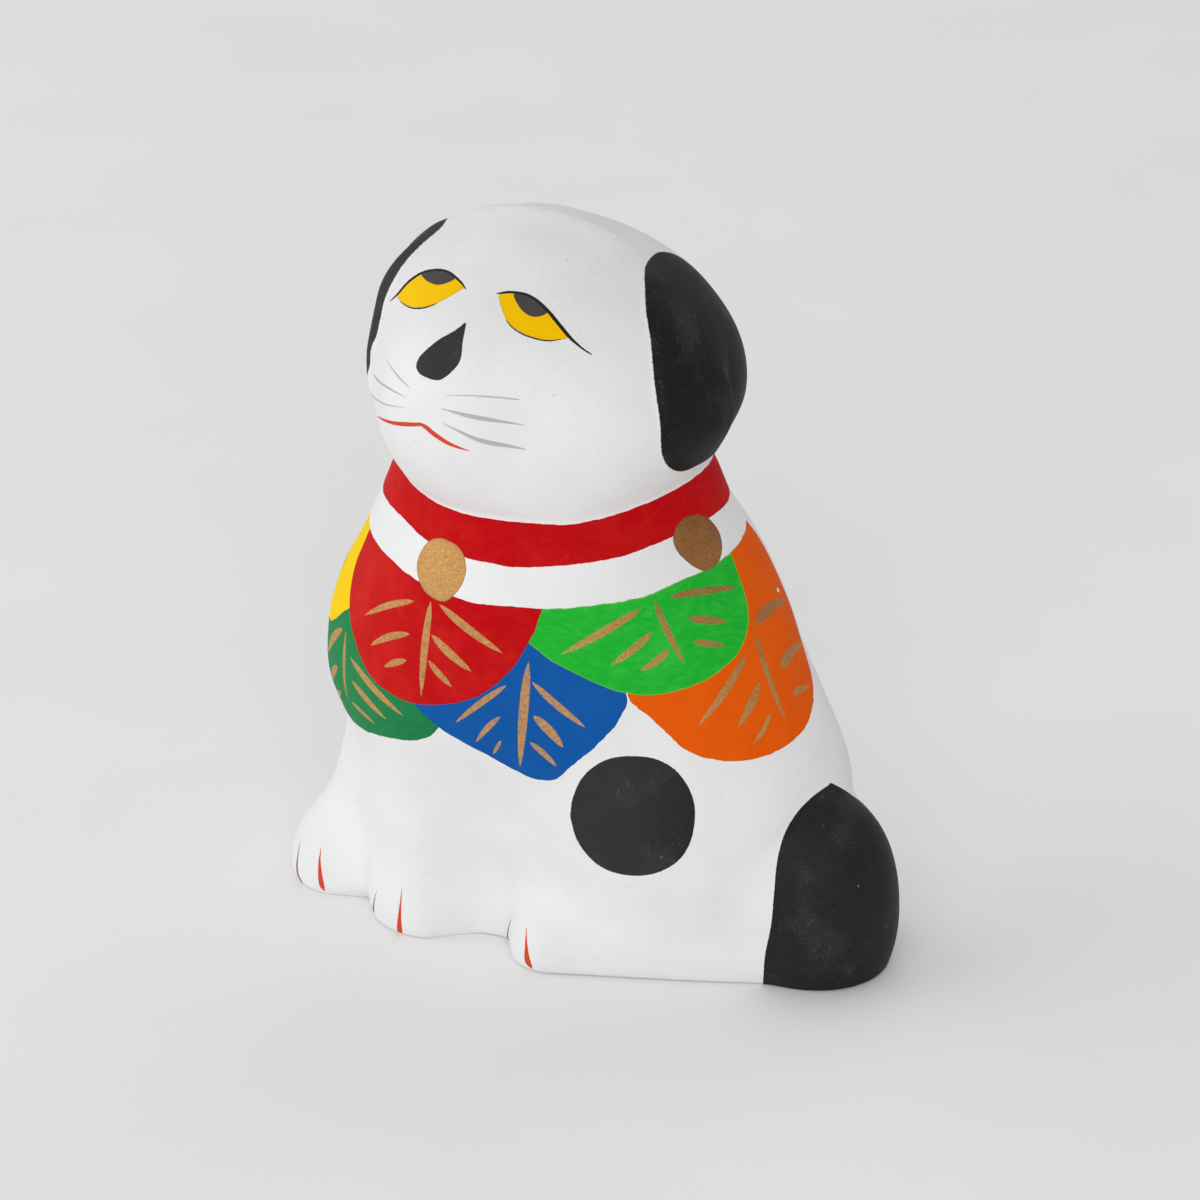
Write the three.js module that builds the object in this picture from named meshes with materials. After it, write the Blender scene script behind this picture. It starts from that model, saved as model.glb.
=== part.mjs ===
// A painted clay dog that sits with its face turned to its flank, as one closed body.
// Millimetres, +Z up. The base is the plane z = 0 and the Z axis runs up through the neck.
// -Y is the side shown to a viewer: the front paws are towards -X and the tail is towards +X.

import * as THREE from 'three';

// Driving sizes

const NECK_TOP = 95;           // where the body's own loft ends inside the head
const HEAD_MIDDLE = 108;       // level from which the rows fan up over the crown
const REACH = 95;              // farther from the middle line than any point of the figure

// The body, level by level: height, half width along X, half depth along Y, middle in X and in Y
const BODY = [
  { z: 0, wide: 46.5, deep: 23.0, x: 13.0, y: 3.0 },
  { z: 12, wide: 44.5, deep: 23.5, x: 14.0, y: 3.0 },
  { z: 24, wide: 42.6, deep: 25.5, x: 12.9, y: 2.5 },
  { z: 34, wide: 45.4, deep: 29.0, x: 9.8, y: 2.0 },
  { z: 44, wide: 48.0, deep: 32.0, x: 3.7, y: 1.5 },
  { z: 54, wide: 46.4, deep: 33.5, x: 1.5, y: 1.0 },
  { z: 65, wide: 42.6, deep: 34.0, x: 1.0, y: 0.5 },
  { z: 75, wide: 37.2, deep: 33.0, x: 1.0, y: 0.0 },
  { z: 83, wide: 32.6, deep: 30.5, x: 0.0, y: 0.0 },
  { z: 90.5, wide: 29.3, deep: 27.8, x: -0.2, y: 0.0 },
  { z: 96, wide: 25.8, deep: 26.0, x: -0.8, y: 0.0 },
];

// The head is an egg: a low crown above its middle, squarer jowls below it, cut away at the corner towards +X.
// A power of 2 is an ellipse, more is squarer
const HEAD = {
  middle: [2.2, 0, 112.8], wide: 33.5, deep: 32.6, crown: 22.2, jowl: 31.8, yaw: -3, roll: 15.6,
  crownPower: 1.8, jowlPower: 3.3, cornerPower: 1.6, cornerStart: 12, cornerEnd: 36,
};
const BROW = { middle: [-9, 0, 118.4], radii: [10.2, 14, 10.2] };
const SNOUT = { middle: [-7.8, -22.5, 110.5], radii: [11, 12.5, 14], yaw: -14 };

// A ridge left by the joint of the mould runs over the crown, and fades before the ear on the side of +X
const SEAM = { y: 1, width: 3.5, rise: 0.9, bottom: 116, top: 124, end: 18.5, fade: 8 };

// The ears lie flat on the sides of the head. Their outlines are given looking along X: the distance from
// a middle point, by the angle from +Y towards +Z in degrees. The near ear is the one towards +X.
// The back edge is a crisp step on the lobe and spreads into a slow slope between crispTop and softBottom
const EAR = {
  y: -1.0,
  z: 113.5,
  backEdge: -2,
  crisp: 0.7,
  soft: 10,
  crispTop: 110,
  softBottom: 119,
  nearestX: 8,
  near: {
    rise: 1.2,
    outline: [[0, 20], [33, 21.3], [54, 19], [72, 17.4], [90, 16.3], [110, 15.3], [132, 15.2], [150, 15.5],
      [165, 16.4], [178, 17.5], [191, 18.6], [208, 19.9], [225, 20.4], [243, 19.7], [256, 18.4], [274, 17.2],
      [300, 17], [330, 18.5], [360, 20]],
  },
  far: {
    rise: 1.5,
    outline: [[0, 20], [33, 20], [54, 19], [72, 19.3], [88, 19.4], [106, 18.1], [126, 17.4], [144, 16.9],
      [159, 15.8], [177, 14], [192, 12.8], [210, 12.3], [225, 13.5], [243, 17], [258, 19.3], [274, 19.4],
      [300, 17.5], [330, 18.8], [360, 20]],
  },
};

// Front legs and hind feet are round cones between two points, paws and thighs are ellipsoids
const FAR_LEG = { from: [-26, -4, 48], to: [-38.5, -1, 6.5], start: 10, end: 10.6 };
const FAR_PAW = { middle: [-42, -4, 2], radii: [10.8, 12.6, 9.4] };
const NEAR_LEG = { from: [-16.5, -15, 45], to: [-20, -13.5, 8.5], start: 10, end: 10 };
const NEAR_PAW = { from: [-19, -13.7, 3.2], to: [-9.5, -10.7, 4], start: 12.2, end: 7.6 };
const THIGHS = [
  { middle: [24.5, -5.5, 21.5], radii: [24.5, 18, 28] },
  { middle: [24.5, 9, 21.5], radii: [24.5, 18, 28] },
];
const HIND_FEET = [
  { from: [8.9, -20.8, 3.2], to: [51.5, -7, 3], start: 8.5, end: 8 },
  { from: [8.9, 21, 3.2], to: [51.5, 8, 3], start: 8.5, end: 8 },
];
const TAIL = {
  middle: [54, -2.2, 13], across: [14.7, 15], top: 21.2, topPower: 2, bottom: 22, bottomPower: 2.3, lean: -2,
};

// How softly one form runs into the next. Where there are two widths, the first holds at the base
// and the second from the height HIGH up, so that the base keeps its notches
const BLEND = {
  brow: 14, snout: 12, farPaw: 11, nearPaw: 7, farLeg: [6, 12], nearLeg: [6, 14], thigh: [5, 15], foot: [5, 11],
  tail: 3, neck: 1.2,
};
const LOW = 3;
const HIGH = 24;

// The grid of the surface
const ROWS = 50;
const CROWN_SHARE = 0.3;       // part of the rows that lies above HEAD_MIDDLE
const COLUMNS = 96;
const MARCH_STEPS = 48;
const HALVINGS = 14;

// The middle line that the rays leave from, as height, x, y
const MIDDLE_LINE = { z: [0, 40, 75, 108], x: [14, 8, 0, -1], y: [2, 1, 0, -1] };

// Small tools

// a smooth curve through values at given places, flat beyond its ends
function curveThrough(places, values) {
  const last = places.length - 1;
  const slopes = places.map((place, i) => {
    if (i === 0) return (values[1] - values[0]) / (places[1] - places[0]);
    if (i === last) return (values[last] - values[last - 1]) / (places[last] - places[last - 1]);
    const before = places[i] - places[i - 1];
    const after = places[i + 1] - places[i];
    const fall = (values[i] - values[i - 1]) / before;
    const rise = (values[i + 1] - values[i]) / after;
    return (fall * after + rise * before) / (before + after);
  });
  return (place) => {
    let i = 0;
    while (i < last - 1 && place > places[i + 1]) i += 1;
    const span = places[i + 1] - places[i];
    const t = THREE.MathUtils.clamp((place - places[i]) / span, 0, 1);
    const rise = t * t * (3 - 2 * t);
    const bend = span * (slopes[i] * t * (1 - t) * (1 - t) - slopes[i + 1] * t * t * (1 - t));
    return values[i] * (1 - rise) + values[i + 1] * rise + bend;
  };
}

// the smaller of two distances, rounded where they are nearly alike
function blend(a, b, width) {
  const near = Math.max(width - Math.abs(a - b), 0) / width;
  return Math.min(a, b) - near * near * width * 0.25;
}

// the matrix that turns a point of the world into the axes of a form turned by yaw, then tipped by roll
function ownAxes(yaw, roll) {
  const turn = new THREE.Euler(0, THREE.MathUtils.degToRad(roll), THREE.MathUtils.degToRad(yaw), 'ZYX');
  return new THREE.Matrix4().makeRotationFromEuler(turn).invert();
}

const offset = new THREE.Vector3();

// distance from an ellipsoid, close enough near its surface
function toEllipsoid(p, { middle, radii }, axes) {
  offset.copy(p).sub(middle);
  if (axes) offset.applyMatrix4(axes);
  const size = Math.hypot(offset.x / radii[0], offset.y / radii[1], offset.z / radii[2]) + 1e-9;
  const slope = Math.hypot(offset.x / radii[0] ** 2, offset.y / radii[1] ** 2, offset.z / radii[2] ** 2) + 1e-9;
  return size * (size - 1) / slope;
}

// distance from a limb that runs from one ball to another
function toLimb(p, { from, along, start, end }) {
  offset.copy(p).sub(from);
  const t = THREE.MathUtils.clamp(offset.dot(along) / along.lengthSq(), 0, 1);
  return offset.addScaledVector(along, -t).length() - (start + (end - start) * t);
}

function ball(shape) {
  return { middle: new THREE.Vector3(...shape.middle), radii: shape.radii };
}

function limb(shape) {
  const from = new THREE.Vector3(...shape.from);
  return { from, along: new THREE.Vector3(...shape.to).sub(from), start: shape.start, end: shape.end };
}

// The forms, as distances from their surfaces

const levels = BODY.map((level) => level.z);
const bodyWide = curveThrough(levels, BODY.map((level) => level.wide));
const bodyDeep = curveThrough(levels, BODY.map((level) => level.deep));
const bodyX = curveThrough(levels, BODY.map((level) => level.x));
const bodyY = curveThrough(levels, BODY.map((level) => level.y));

function toBody(p) {
  const wide = bodyWide(p.z);
  const deep = bodyDeep(p.z);
  const x = p.x - bodyX(p.z);
  const y = p.y - bodyY(p.z);
  const size = Math.hypot(x / wide, y / deep) + 1e-9;
  const slope = Math.hypot(x / wide ** 2, y / deep ** 2) + 1e-9;
  return Math.max(size * (size - 1) / slope, p.z - NECK_TOP);
}

// distance along the ray from the middle of a form whose level cut is an ellipse,
// and whose side is the curve |x|^power + |z|^power = 1. The offset is given in the form's own axes
function toDome(across, tall, power) {
  const level = Math.hypot(offset.x / across[0], offset.y / across[1]);
  const size = (level ** power + Math.abs(offset.z / tall) ** power) ** (1 / power) + 1e-9;
  return (size - 1) * offset.length() / size;
}

const headAxes = ownAxes(HEAD.yaw, HEAD.roll);
const headMiddle = new THREE.Vector3(...HEAD.middle);
const headAcross = [HEAD.wide, HEAD.deep];

function toSkull(p) {
  offset.copy(p).sub(headMiddle).applyMatrix4(headAxes);
  if (offset.z > 0) return toDome(headAcross, HEAD.crown, HEAD.crownPower);
  const corner = THREE.MathUtils.smoothstep(p.x, HEAD.cornerStart, HEAD.cornerEnd);
  return toDome(headAcross, HEAD.jowl, THREE.MathUtils.lerp(HEAD.jowlPower, HEAD.cornerPower, corner));
}

function earReach({ outline }) {
  return curveThrough(outline.map(([angle]) => angle), outline.map(([, reach]) => reach));
}

const nearEarReach = earReach(EAR.near);
const farEarReach = earReach(EAR.far);

// how far an ear flap stands out here: full inside its outline, nothing behind its back edge
function earRise(p) {
  if (Math.abs(p.x) < EAR.nearestX) return 0;
  const y = p.y - EAR.y;
  const z = p.z - EAR.z;
  const angle = THREE.MathUtils.euclideanModulo(THREE.MathUtils.radToDeg(Math.atan2(z, y)), 360);
  const reach = p.x > 0 ? nearEarReach(angle) : farEarReach(angle);
  const front = THREE.MathUtils.smoothstep(reach - Math.hypot(y, z), -0.5, 1.2);
  const spread = THREE.MathUtils.smoothstep(p.z, EAR.crispTop, EAR.softBottom);
  const step = THREE.MathUtils.lerp(EAR.crisp, EAR.soft, spread);
  const back = THREE.MathUtils.smoothstep(EAR.backEdge - p.y, -step, step);
  return (p.x > 0 ? EAR.near.rise : EAR.far.rise) * front * back;
}

// how far the joint's ridge stands out here: a Gauss bell across it
function seamRise(p) {
  const up = THREE.MathUtils.smoothstep(p.z, SEAM.bottom, SEAM.top);
  const clearOfEar = THREE.MathUtils.smoothstep(SEAM.end - p.x, 0, SEAM.fade);
  return SEAM.rise * up * clearOfEar * Math.exp(-(((p.y - SEAM.y) / SEAM.width) ** 2));
}

const snout = ball(SNOUT);
const snoutAxes = ownAxes(SNOUT.yaw, 0);
const brow = ball(BROW);

function toHead(p) {
  const face = blend(toSkull(p), toEllipsoid(p, snout, snoutAxes), BLEND.snout);
  return blend(face, toEllipsoid(p, brow), BLEND.brow) - earRise(p) - seamRise(p);
}

const farLeg = limb(FAR_LEG);
const farPaw = ball(FAR_PAW);
const nearLeg = limb(NEAR_LEG);
const nearPaw = limb(NEAR_PAW);
const thighs = THIGHS.map(ball);
const hindFeet = HIND_FEET.map(limb);
const tailAxes = ownAxes(0, TAIL.lean);
const tailMiddle = new THREE.Vector3(...TAIL.middle);

function toTail(p) {
  offset.copy(p).sub(tailMiddle).applyMatrix4(tailAxes);
  return offset.z > 0
    ? toDome(TAIL.across, TAIL.top, TAIL.topPower)
    : toDome(TAIL.across, TAIL.bottom, TAIL.bottomPower);
}

function toDog(p) {
  const climbed = THREE.MathUtils.smoothstep(p.z, LOW, HIGH);
  const width = ([low, high]) => THREE.MathUtils.lerp(low, high, climbed);
  const farFront = blend(toLimb(p, farLeg), toEllipsoid(p, farPaw), BLEND.farPaw);
  const nearFront = blend(toLimb(p, nearLeg), toLimb(p, nearPaw), BLEND.nearPaw);
  let distance = blend(toBody(p), farFront, width(BLEND.farLeg));
  distance = blend(distance, nearFront, width(BLEND.nearLeg));
  for (const thigh of thighs) distance = blend(distance, toEllipsoid(p, thigh), width(BLEND.thigh));
  for (const foot of hindFeet) distance = blend(distance, toLimb(p, foot), width(BLEND.foot));
  distance = blend(distance, toTail(p), BLEND.tail);
  return blend(distance, toHead(p), BLEND.neck);
}

// The surface: level rows of rays up to the middle of the head, then rows that fan up over the crown

const middleX = curveThrough(MIDDLE_LINE.z, MIDDLE_LINE.x);
const middleY = curveThrough(MIDDLE_LINE.z, MIDDLE_LINE.y);

// the outermost point of the dog along a ray
function surfacePoint(start, direction) {
  const p = new THREE.Vector3();
  const distanceAt = (reach) => toDog(p.copy(start).addScaledVector(direction, reach));
  let outside = REACH;
  let inside = REACH;
  while (inside > 0 && distanceAt(inside) > 0) {
    outside = inside;
    inside -= REACH / MARCH_STEPS;
  }
  for (let i = 0; i < HALVINGS; i += 1) {
    const half = (inside + outside) / 2;
    if (distanceAt(half) > 0) outside = half;
    else inside = half;
  }
  return p.copy(start).addScaledVector(direction, (inside + outside) / 2);
}

function dogGeometry() {
  const positions = [];
  const triangles = [];
  const crownRow = ROWS * (1 - CROWN_SHARE);
  for (let row = 0; row < ROWS; row += 1) {
    const height = HEAD_MIDDLE * Math.min(row / crownRow, 1);
    const lift = Math.PI / 2 * Math.max(row / crownRow - 1, 0) * (1 - CROWN_SHARE) / CROWN_SHARE;
    const start = new THREE.Vector3(middleX(height), middleY(height), height);
    for (let column = 0; column < COLUMNS; column += 1) {
      const around = 2 * Math.PI * column / COLUMNS;
      const direction = new THREE.Vector3().setFromSphericalCoords(1, Math.PI / 2 - lift, around);
      direction.set(direction.z, direction.x, direction.y);
      const p = surfacePoint(start, direction);
      positions.push(p.x, p.y, row === 0 ? 0 : p.z);
    }
  }
  const crown = positions.length / 3;
  positions.push(...surfacePoint(new THREE.Vector3(middleX(HEAD_MIDDLE), middleY(HEAD_MIDDLE), HEAD_MIDDLE),
    new THREE.Vector3(0, 0, 1)).toArray());
  const base = crown + 1;
  positions.push(middleX(0), middleY(0), 0);
  for (let column = 0; column < COLUMNS; column += 1) {
    const next = (column + 1) % COLUMNS;
    for (let row = 0; row < ROWS - 1; row += 1) {
      const a = row * COLUMNS + column;
      const b = row * COLUMNS + next;
      triangles.push(a, b, b + COLUMNS, a, b + COLUMNS, a + COLUMNS);
    }
    triangles.push(base, next, column);
    triangles.push(crown, (ROWS - 1) * COLUMNS + column, (ROWS - 1) * COLUMNS + next);
  }
  const geometry = new THREE.BufferGeometry();
  geometry.setAttribute('position', new THREE.Float32BufferAttribute(positions, 3));
  geometry.setIndex(triangles);
  geometry.computeVertexNormals();
  return geometry;
}

const whiteGround = new THREE.MeshStandardMaterial({ color: 0xefeeec, roughness: 0.75, metalness: 0 });

const dog = new THREE.Mesh(dogGeometry(), whiteGround);
dog.name = 'dog_figure';

const figure = new THREE.Group();
figure.add(dog);

export default figure;
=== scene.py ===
"""A painted clay dog with its face turned to its flank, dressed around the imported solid.

Shape and marks are worked out in millimetres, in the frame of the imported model, and turned to metres at
the end. The base lies on z = 0, the Z axis runs up through the neck, and -Y is the side shown to a viewer.
"""

import functools
import math

import bpy
import numpy as np
from mathutils import Matrix, Vector


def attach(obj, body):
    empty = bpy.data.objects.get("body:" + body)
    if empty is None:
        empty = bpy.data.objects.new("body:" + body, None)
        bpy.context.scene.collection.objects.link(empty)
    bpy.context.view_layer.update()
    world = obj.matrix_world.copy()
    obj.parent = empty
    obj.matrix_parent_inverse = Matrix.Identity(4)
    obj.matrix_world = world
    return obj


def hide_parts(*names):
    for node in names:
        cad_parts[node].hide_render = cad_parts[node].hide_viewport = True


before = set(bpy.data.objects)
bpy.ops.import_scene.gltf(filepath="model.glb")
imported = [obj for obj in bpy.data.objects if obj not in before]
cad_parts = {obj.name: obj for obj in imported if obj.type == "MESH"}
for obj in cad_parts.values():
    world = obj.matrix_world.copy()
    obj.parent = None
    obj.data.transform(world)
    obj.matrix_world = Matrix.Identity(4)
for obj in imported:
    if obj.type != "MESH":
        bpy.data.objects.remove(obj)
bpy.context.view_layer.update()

MM = 0.001
TINY, VAST = 1e-9, 1e9

# The eye that the marks were sketched from, and that the camera uses
EYE_TURN = math.radians(24.0)      # round from -Y towards +X
EYE_LIFT = math.radians(23.5)      # up from level
EYE_DISTANCE = 740.0
EYE_AIM = np.array([7.3, 3.3, 62.0])
LENS = 120.0
SENSOR = 36.0
SKETCH_SIDE = 1200.0               # the sketch is a square of this many units
SKETCH_UNIT = SKETCH_SIDE * LENS / SENSOR / EYE_DISTANCE   # units to a millimetre at the aim


def way_out(turn, lift):
    """Direction away from the figure, turned from -Y towards +X and lifted from level, in radians."""
    return np.array([math.sin(turn) * math.cos(lift), -math.cos(turn) * math.cos(lift), math.sin(lift)])


EYE_BACK = way_out(EYE_TURN, EYE_LIFT)
EYE_RIGHT = np.array([math.cos(EYE_TURN), math.sin(EYE_TURN), 0.0])
EYE_UP = np.cross(EYE_BACK, EYE_RIGHT)
EYE = EYE_AIM + EYE_DISTANCE * EYE_BACK

# Sizes of the forms

NECK_TOP = 95.0
# height, half width along X, half depth along Y, middle in X and in Y
BODY = np.array([
    (0.0, 46.5, 23.0, 13.0, 3.0), (12.0, 44.5, 23.5, 14.0, 3.0), (24.0, 42.6, 25.5, 12.9, 2.5),
    (34.0, 45.4, 29.0, 9.8, 2.0), (44.0, 48.0, 32.0, 3.7, 1.5), (54.0, 46.4, 33.5, 1.5, 1.0),
    (65.0, 42.6, 34.0, 1.0, 0.5), (75.0, 37.2, 33.0, 1.0, 0.0), (83.0, 32.6, 30.5, 0.0, 0.0),
    (90.5, 29.3, 27.8, -0.2, 0.0), (96.0, 25.8, 26.0, -0.8, 0.0)])
HEAD_MIDDLE = (2.2, 0.0, 112.8)
HEAD_WIDE, HEAD_DEEP, HEAD_CROWN, HEAD_JOWL = 33.5, 32.6, 22.2, 31.8
CROWN_POWER = 1.8                          # 2 is an ellipse, more is squarer
JOWL_POWER, CORNER_POWER = 3.3, 1.6        # of the jowls, and of their corner towards +X
CORNER_START, CORNER_END = 12.0, 36.0
HEAD_YAW, HEAD_ROLL = -3.0, 15.6
BROW_MIDDLE, BROW_RADII = (-9.0, 0.0, 118.4), (10.2, 14.0, 10.2)
SNOUT_MIDDLE, SNOUT_RADII, SNOUT_YAW = (-7.8, -22.5, 110.5), (11.0, 12.5, 14.0), -14.0
SEAM_Y, SEAM_WIDTH, SEAM_RISE = 1.0, 3.5, 0.9
SEAM_BOTTOM, SEAM_TOP = 116.0, 124.0       # the seam grows over these heights
SEAM_END, SEAM_FADE = 18.5, 8.0            # and fades out towards this x
EAR_Y, EAR_Z, EAR_NEAREST_X = -1.0, 113.5, 8.0
EAR_RISE, FAR_EAR_RISE = 1.2, 1.5
EAR_EDGE = (-0.5, 1.2)                     # the flap rises between these depths inside its outline
EAR_BACK, EAR_BACK_CRISP, EAR_BACK_SOFT = -2.0, 0.7, 10.0   # its back edge in y, and the width of its step
EAR_CRISP_TOP, EAR_SOFT_BOTTOM = 110.0, 119.0   # crisp below the one height, soft above the other
# angle from +Y towards +Z in degrees, and how far the near ear reaches that way
EAR_OUTLINE = np.array([
    (0, 20), (33, 21.3), (54, 19), (72, 17.4), (90, 16.3), (110, 15.3), (132, 15.2), (150, 15.5),
    (165, 16.4), (178, 17.5), (191, 18.6), (208, 19.9), (225, 20.4), (243, 19.7), (256, 18.4), (274, 17.2),
    (300, 17), (330, 18.5), (360, 20)], float)
FAR_EAR_OUTLINE = np.array([
    (0, 20), (33, 20), (54, 19), (72, 19.3), (88, 19.4), (106, 18.1), (126, 17.4), (144, 16.9), (159, 15.8),
    (177, 14), (192, 12.8), (210, 12.3), (225, 13.5), (243, 17), (258, 19.3), (274, 19.4), (300, 17.5),
    (330, 18.8), (360, 20)], float)
TAIL_MIDDLE, TAIL_ACROSS, TAIL_LEAN = (54.0, -2.2, 13.0), (14.7, 15.0), -2.0
TAIL_SIDES = ((2.3, 22.0), (2.0, 21.2))    # power and height, below and above its middle
# limbs as start, end and the radius at each, and round forms as middle and radii
FAR_LEG = ((-26, -4, 48), (-38.5, -1, 6.5), 10, 10.6)
FAR_PAW = ((-42, -4, 2), (10.8, 12.6, 9.4))
NEAR_LEG = ((-16.5, -15, 45), (-20, -13.5, 8.5), 10, 10)
NEAR_PAW = ((-19, -13.7, 3.2), (-9.5, -10.7, 4), 12.2, 7.6)
THIGHS = [((24.5, y, 21.5), (24.5, 18, 28)) for y in (-5.5, 9)]
HIND_FEET = [((8.9, -20.8, 3.2), (51.5, -7, 3), 8.5, 8), ((8.9, 21, 3.2), (51.5, 8, 3), 8.5, 8)]
LUMP_HEIGHT = 0.07
# how softly one form runs into the next: near the base, and from HIGH up
LOW, HIGH = 3.0, 24.0
BLEND_FAR_LEG, BLEND_NEAR_LEG, BLEND_THIGH, BLEND_FOOT = (6, 12), (6, 14), (5, 15), (5, 11)
BLEND_FAR_PAW, BLEND_NEAR_PAW, BLEND_SNOUT, BLEND_BROW, BLEND_NECK = 11, 7, 12, 14, 1.2
BLEND_TAIL = (3, 8)                        # crisply at the base and at the tip, softly between
TAIL_HEIGHTS = np.array([(0, 0), (4, 0), (14, 1), (22, 1), (32, 0), (40, 0)], float)   # height, how softly
MIDDLE_LINE = np.array([(0, 14, 2), (40, 8, 1), (75, 0, 0), (108, -1, -1)], float)   # height, x, y
FAN_HEIGHT = 108.0

# The grid of the surface
COLUMNS = 440
EDGE_LEVELS = (0.0, 0.12, 0.35, 0.7)
SIDE_ROWS = 150
CROWN_ROWS = 62
EDGE_ROUND = 0.8
REACH = 95.0
MARCH_STEPS = 48
HALVINGS = 16


def curve_through(table, at, column=1):
    """Hermite curve through the values in a column of a table whose first column holds their places. The
    slope at a knot is the mean of the slopes of its two spans, each weighted by the length of the other.
    Beyond the ends it keeps the end values."""
    places, values = table[:, 0], table[:, column]
    spans = np.diff(places)
    rises = np.diff(values) / spans
    inner = (rises[:-1] * spans[1:] + rises[1:] * spans[:-1]) / (spans[:-1] + spans[1:])
    slopes = np.concatenate([rises[:1], inner, rises[-1:]])
    i = np.clip(np.searchsorted(places, at) - 1, 0, len(spans) - 1)
    t = np.clip((at - places[i]) / spans[i], 0, 1)
    s = t * t * (3 - 2 * t)
    bend = spans[i] * (slopes[i] * t * (1 - t) ** 2 - slopes[i + 1] * t * t * (1 - t))
    return values[i] * (1 - s) + values[i + 1] * s + bend


def eased(x, low, high):
    """0 below low, 1 above high, and 3t^2 - 2t^3 between them."""
    t = np.clip((x - low) / (high - low), 0, 1)
    return t * t * (3 - 2 * t)


def blended(a, b, width):
    """The smaller of two distances, less (width - gap)^2 / 4 width where their gap is under the width."""
    near = np.maximum(width - np.abs(a - b), 0) / width
    return np.minimum(a, b) - near * near * width * 0.25


def own_axes(yaw, roll):
    """Columns are the axes of a form that is tipped about Y by roll, then turned about Z by yaw."""
    a, b = math.radians(yaw), math.radians(roll)
    turned = np.array([[math.cos(a), -math.sin(a), 0], [math.sin(a), math.cos(a), 0], [0, 0, 1]])
    tipped = np.array([[math.cos(b), 0, math.sin(b)], [0, 1, 0], [-math.sin(b), 0, math.cos(b)]])
    return turned @ tipped


def to_ellipsoid(p, middle, radii, axes=None):
    """Distance from an ellipsoid, as k(k - 1) / |gradient of k| with k the size of p in radii."""
    q = p - np.array(middle)
    if axes is not None:
        q = q @ axes
    radii = np.array(radii, float)
    size = np.sqrt(((q / radii) ** 2).sum(-1)) + TINY
    return size * (size - 1) / (np.sqrt(((q / radii ** 2) ** 2).sum(-1)) + TINY)


def to_limb(p, start, end, start_radius, end_radius):
    """Distance from a limb: that from its segment, less the radius there, which runs evenly to its end."""
    start, along = np.array(start, float), np.subtract(end, start)
    q = p - start
    t = np.clip(q @ along / (along @ along), 0, 1)
    radius = start_radius + (end_radius - start_radius) * t
    return np.linalg.norm(q - t[..., None] * along, axis=-1) - radius


def to_body(p):
    """Distance from the upright loft: at each height an ellipse whose sizes and middle follow curves."""
    wide, deep, x, y = (curve_through(BODY, p[..., 2], column) for column in range(1, 5))
    x, y = p[..., 0] - x, p[..., 1] - y
    size = np.hypot(x / wide, y / deep) + TINY
    distance = size * (size - 1) / (np.hypot(x / wide ** 2, y / deep ** 2) + TINY)
    return np.maximum(distance, p[..., 2] - NECK_TOP)


HEAD_AXES = own_axes(HEAD_YAW, HEAD_ROLL)
SNOUT_AXES = own_axes(SNOUT_YAW, 0)
TAIL_AXES = own_axes(0, TAIL_LEAN)


def to_dome(p, middle, across, sides, axes):
    """Distance along the ray from the middle of a form. Its level cut is an ellipse with the two radii
    across. Its side is the curve |x|^power + |z|^power = 1, with a power and a height below and above."""
    q = (p - np.array(middle)) @ axes
    level = np.hypot(q[..., 0] / across[0], q[..., 1] / across[1])
    sizes = [(level ** power + (np.abs(q[..., 2]) / tall) ** power) ** (1 / power) for power, tall in sides]
    size = np.where(q[..., 2] > 0, sizes[-1], sizes[0]) + TINY
    return (size - 1) * np.linalg.norm(q, axis=-1) / size


def to_skull(p):
    """The egg of the head: a low crown above its middle, squarer jowls below it, cut away at one corner."""
    jowl = JOWL_POWER + (CORNER_POWER - JOWL_POWER) * eased(p[..., 0], CORNER_START, CORNER_END)
    sides = ((jowl, HEAD_JOWL), (CROWN_POWER, HEAD_CROWN))
    return to_dome(p, HEAD_MIDDLE, (HEAD_WIDE, HEAD_DEEP), sides, HEAD_AXES)


def inside_ear(p):
    """How far a point is inside the ear's outline, looking along X."""
    y, z = p[..., 1] - EAR_Y, p[..., 2] - EAR_Z
    angle = np.degrees(np.arctan2(z, y)) % 360
    reach = np.where(p[..., 0] > 0, curve_through(EAR_OUTLINE, angle), curve_through(FAR_EAR_OUTLINE, angle))
    return np.where(np.abs(p[..., 0]) > EAR_NEAREST_X, reach - np.hypot(y, z), -CLEAR)


def ear_rise(p):
    """How far an ear flap stands out: all of its rise inside its outline, nothing behind its back edge. That
    edge is a step on the lobe, and spreads into a slow slope higher up."""
    full = np.where(p[..., 0] > 0, EAR_RISE, FAR_EAR_RISE)
    softer = eased(p[..., 2], EAR_CRISP_TOP, EAR_SOFT_BOTTOM)
    step = EAR_BACK_CRISP + (EAR_BACK_SOFT - EAR_BACK_CRISP) * softer
    return full * eased(inside_ear(p), *EAR_EDGE) * eased((EAR_BACK - p[..., 1]) / step, -1, 1)


def to_head(p):
    """The skull run into the snout and the brow, grown by the ears and by the mould's seam, a ridge whose
    height falls off as the Gauss bell of the distance from the plane y = SEAM_Y."""
    head = blended(to_skull(p), to_ellipsoid(p, SNOUT_MIDDLE, SNOUT_RADII, SNOUT_AXES), BLEND_SNOUT)
    head = blended(head, to_ellipsoid(p, BROW_MIDDLE, BROW_RADII), BLEND_BROW)
    seam = np.exp(-((p[..., 1] - SEAM_Y) / SEAM_WIDTH) ** 2)
    seam = seam * eased(p[..., 2], SEAM_BOTTOM, SEAM_TOP) * eased(SEAM_END - p[..., 0], 0, SEAM_FADE)
    return head - ear_rise(p) - SEAM_RISE * seam


def by_height(widths, share):
    """A blend's width where this share of the way from its low to its high value has been climbed."""
    return widths[0] + (widths[1] - widths[0]) * share


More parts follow.
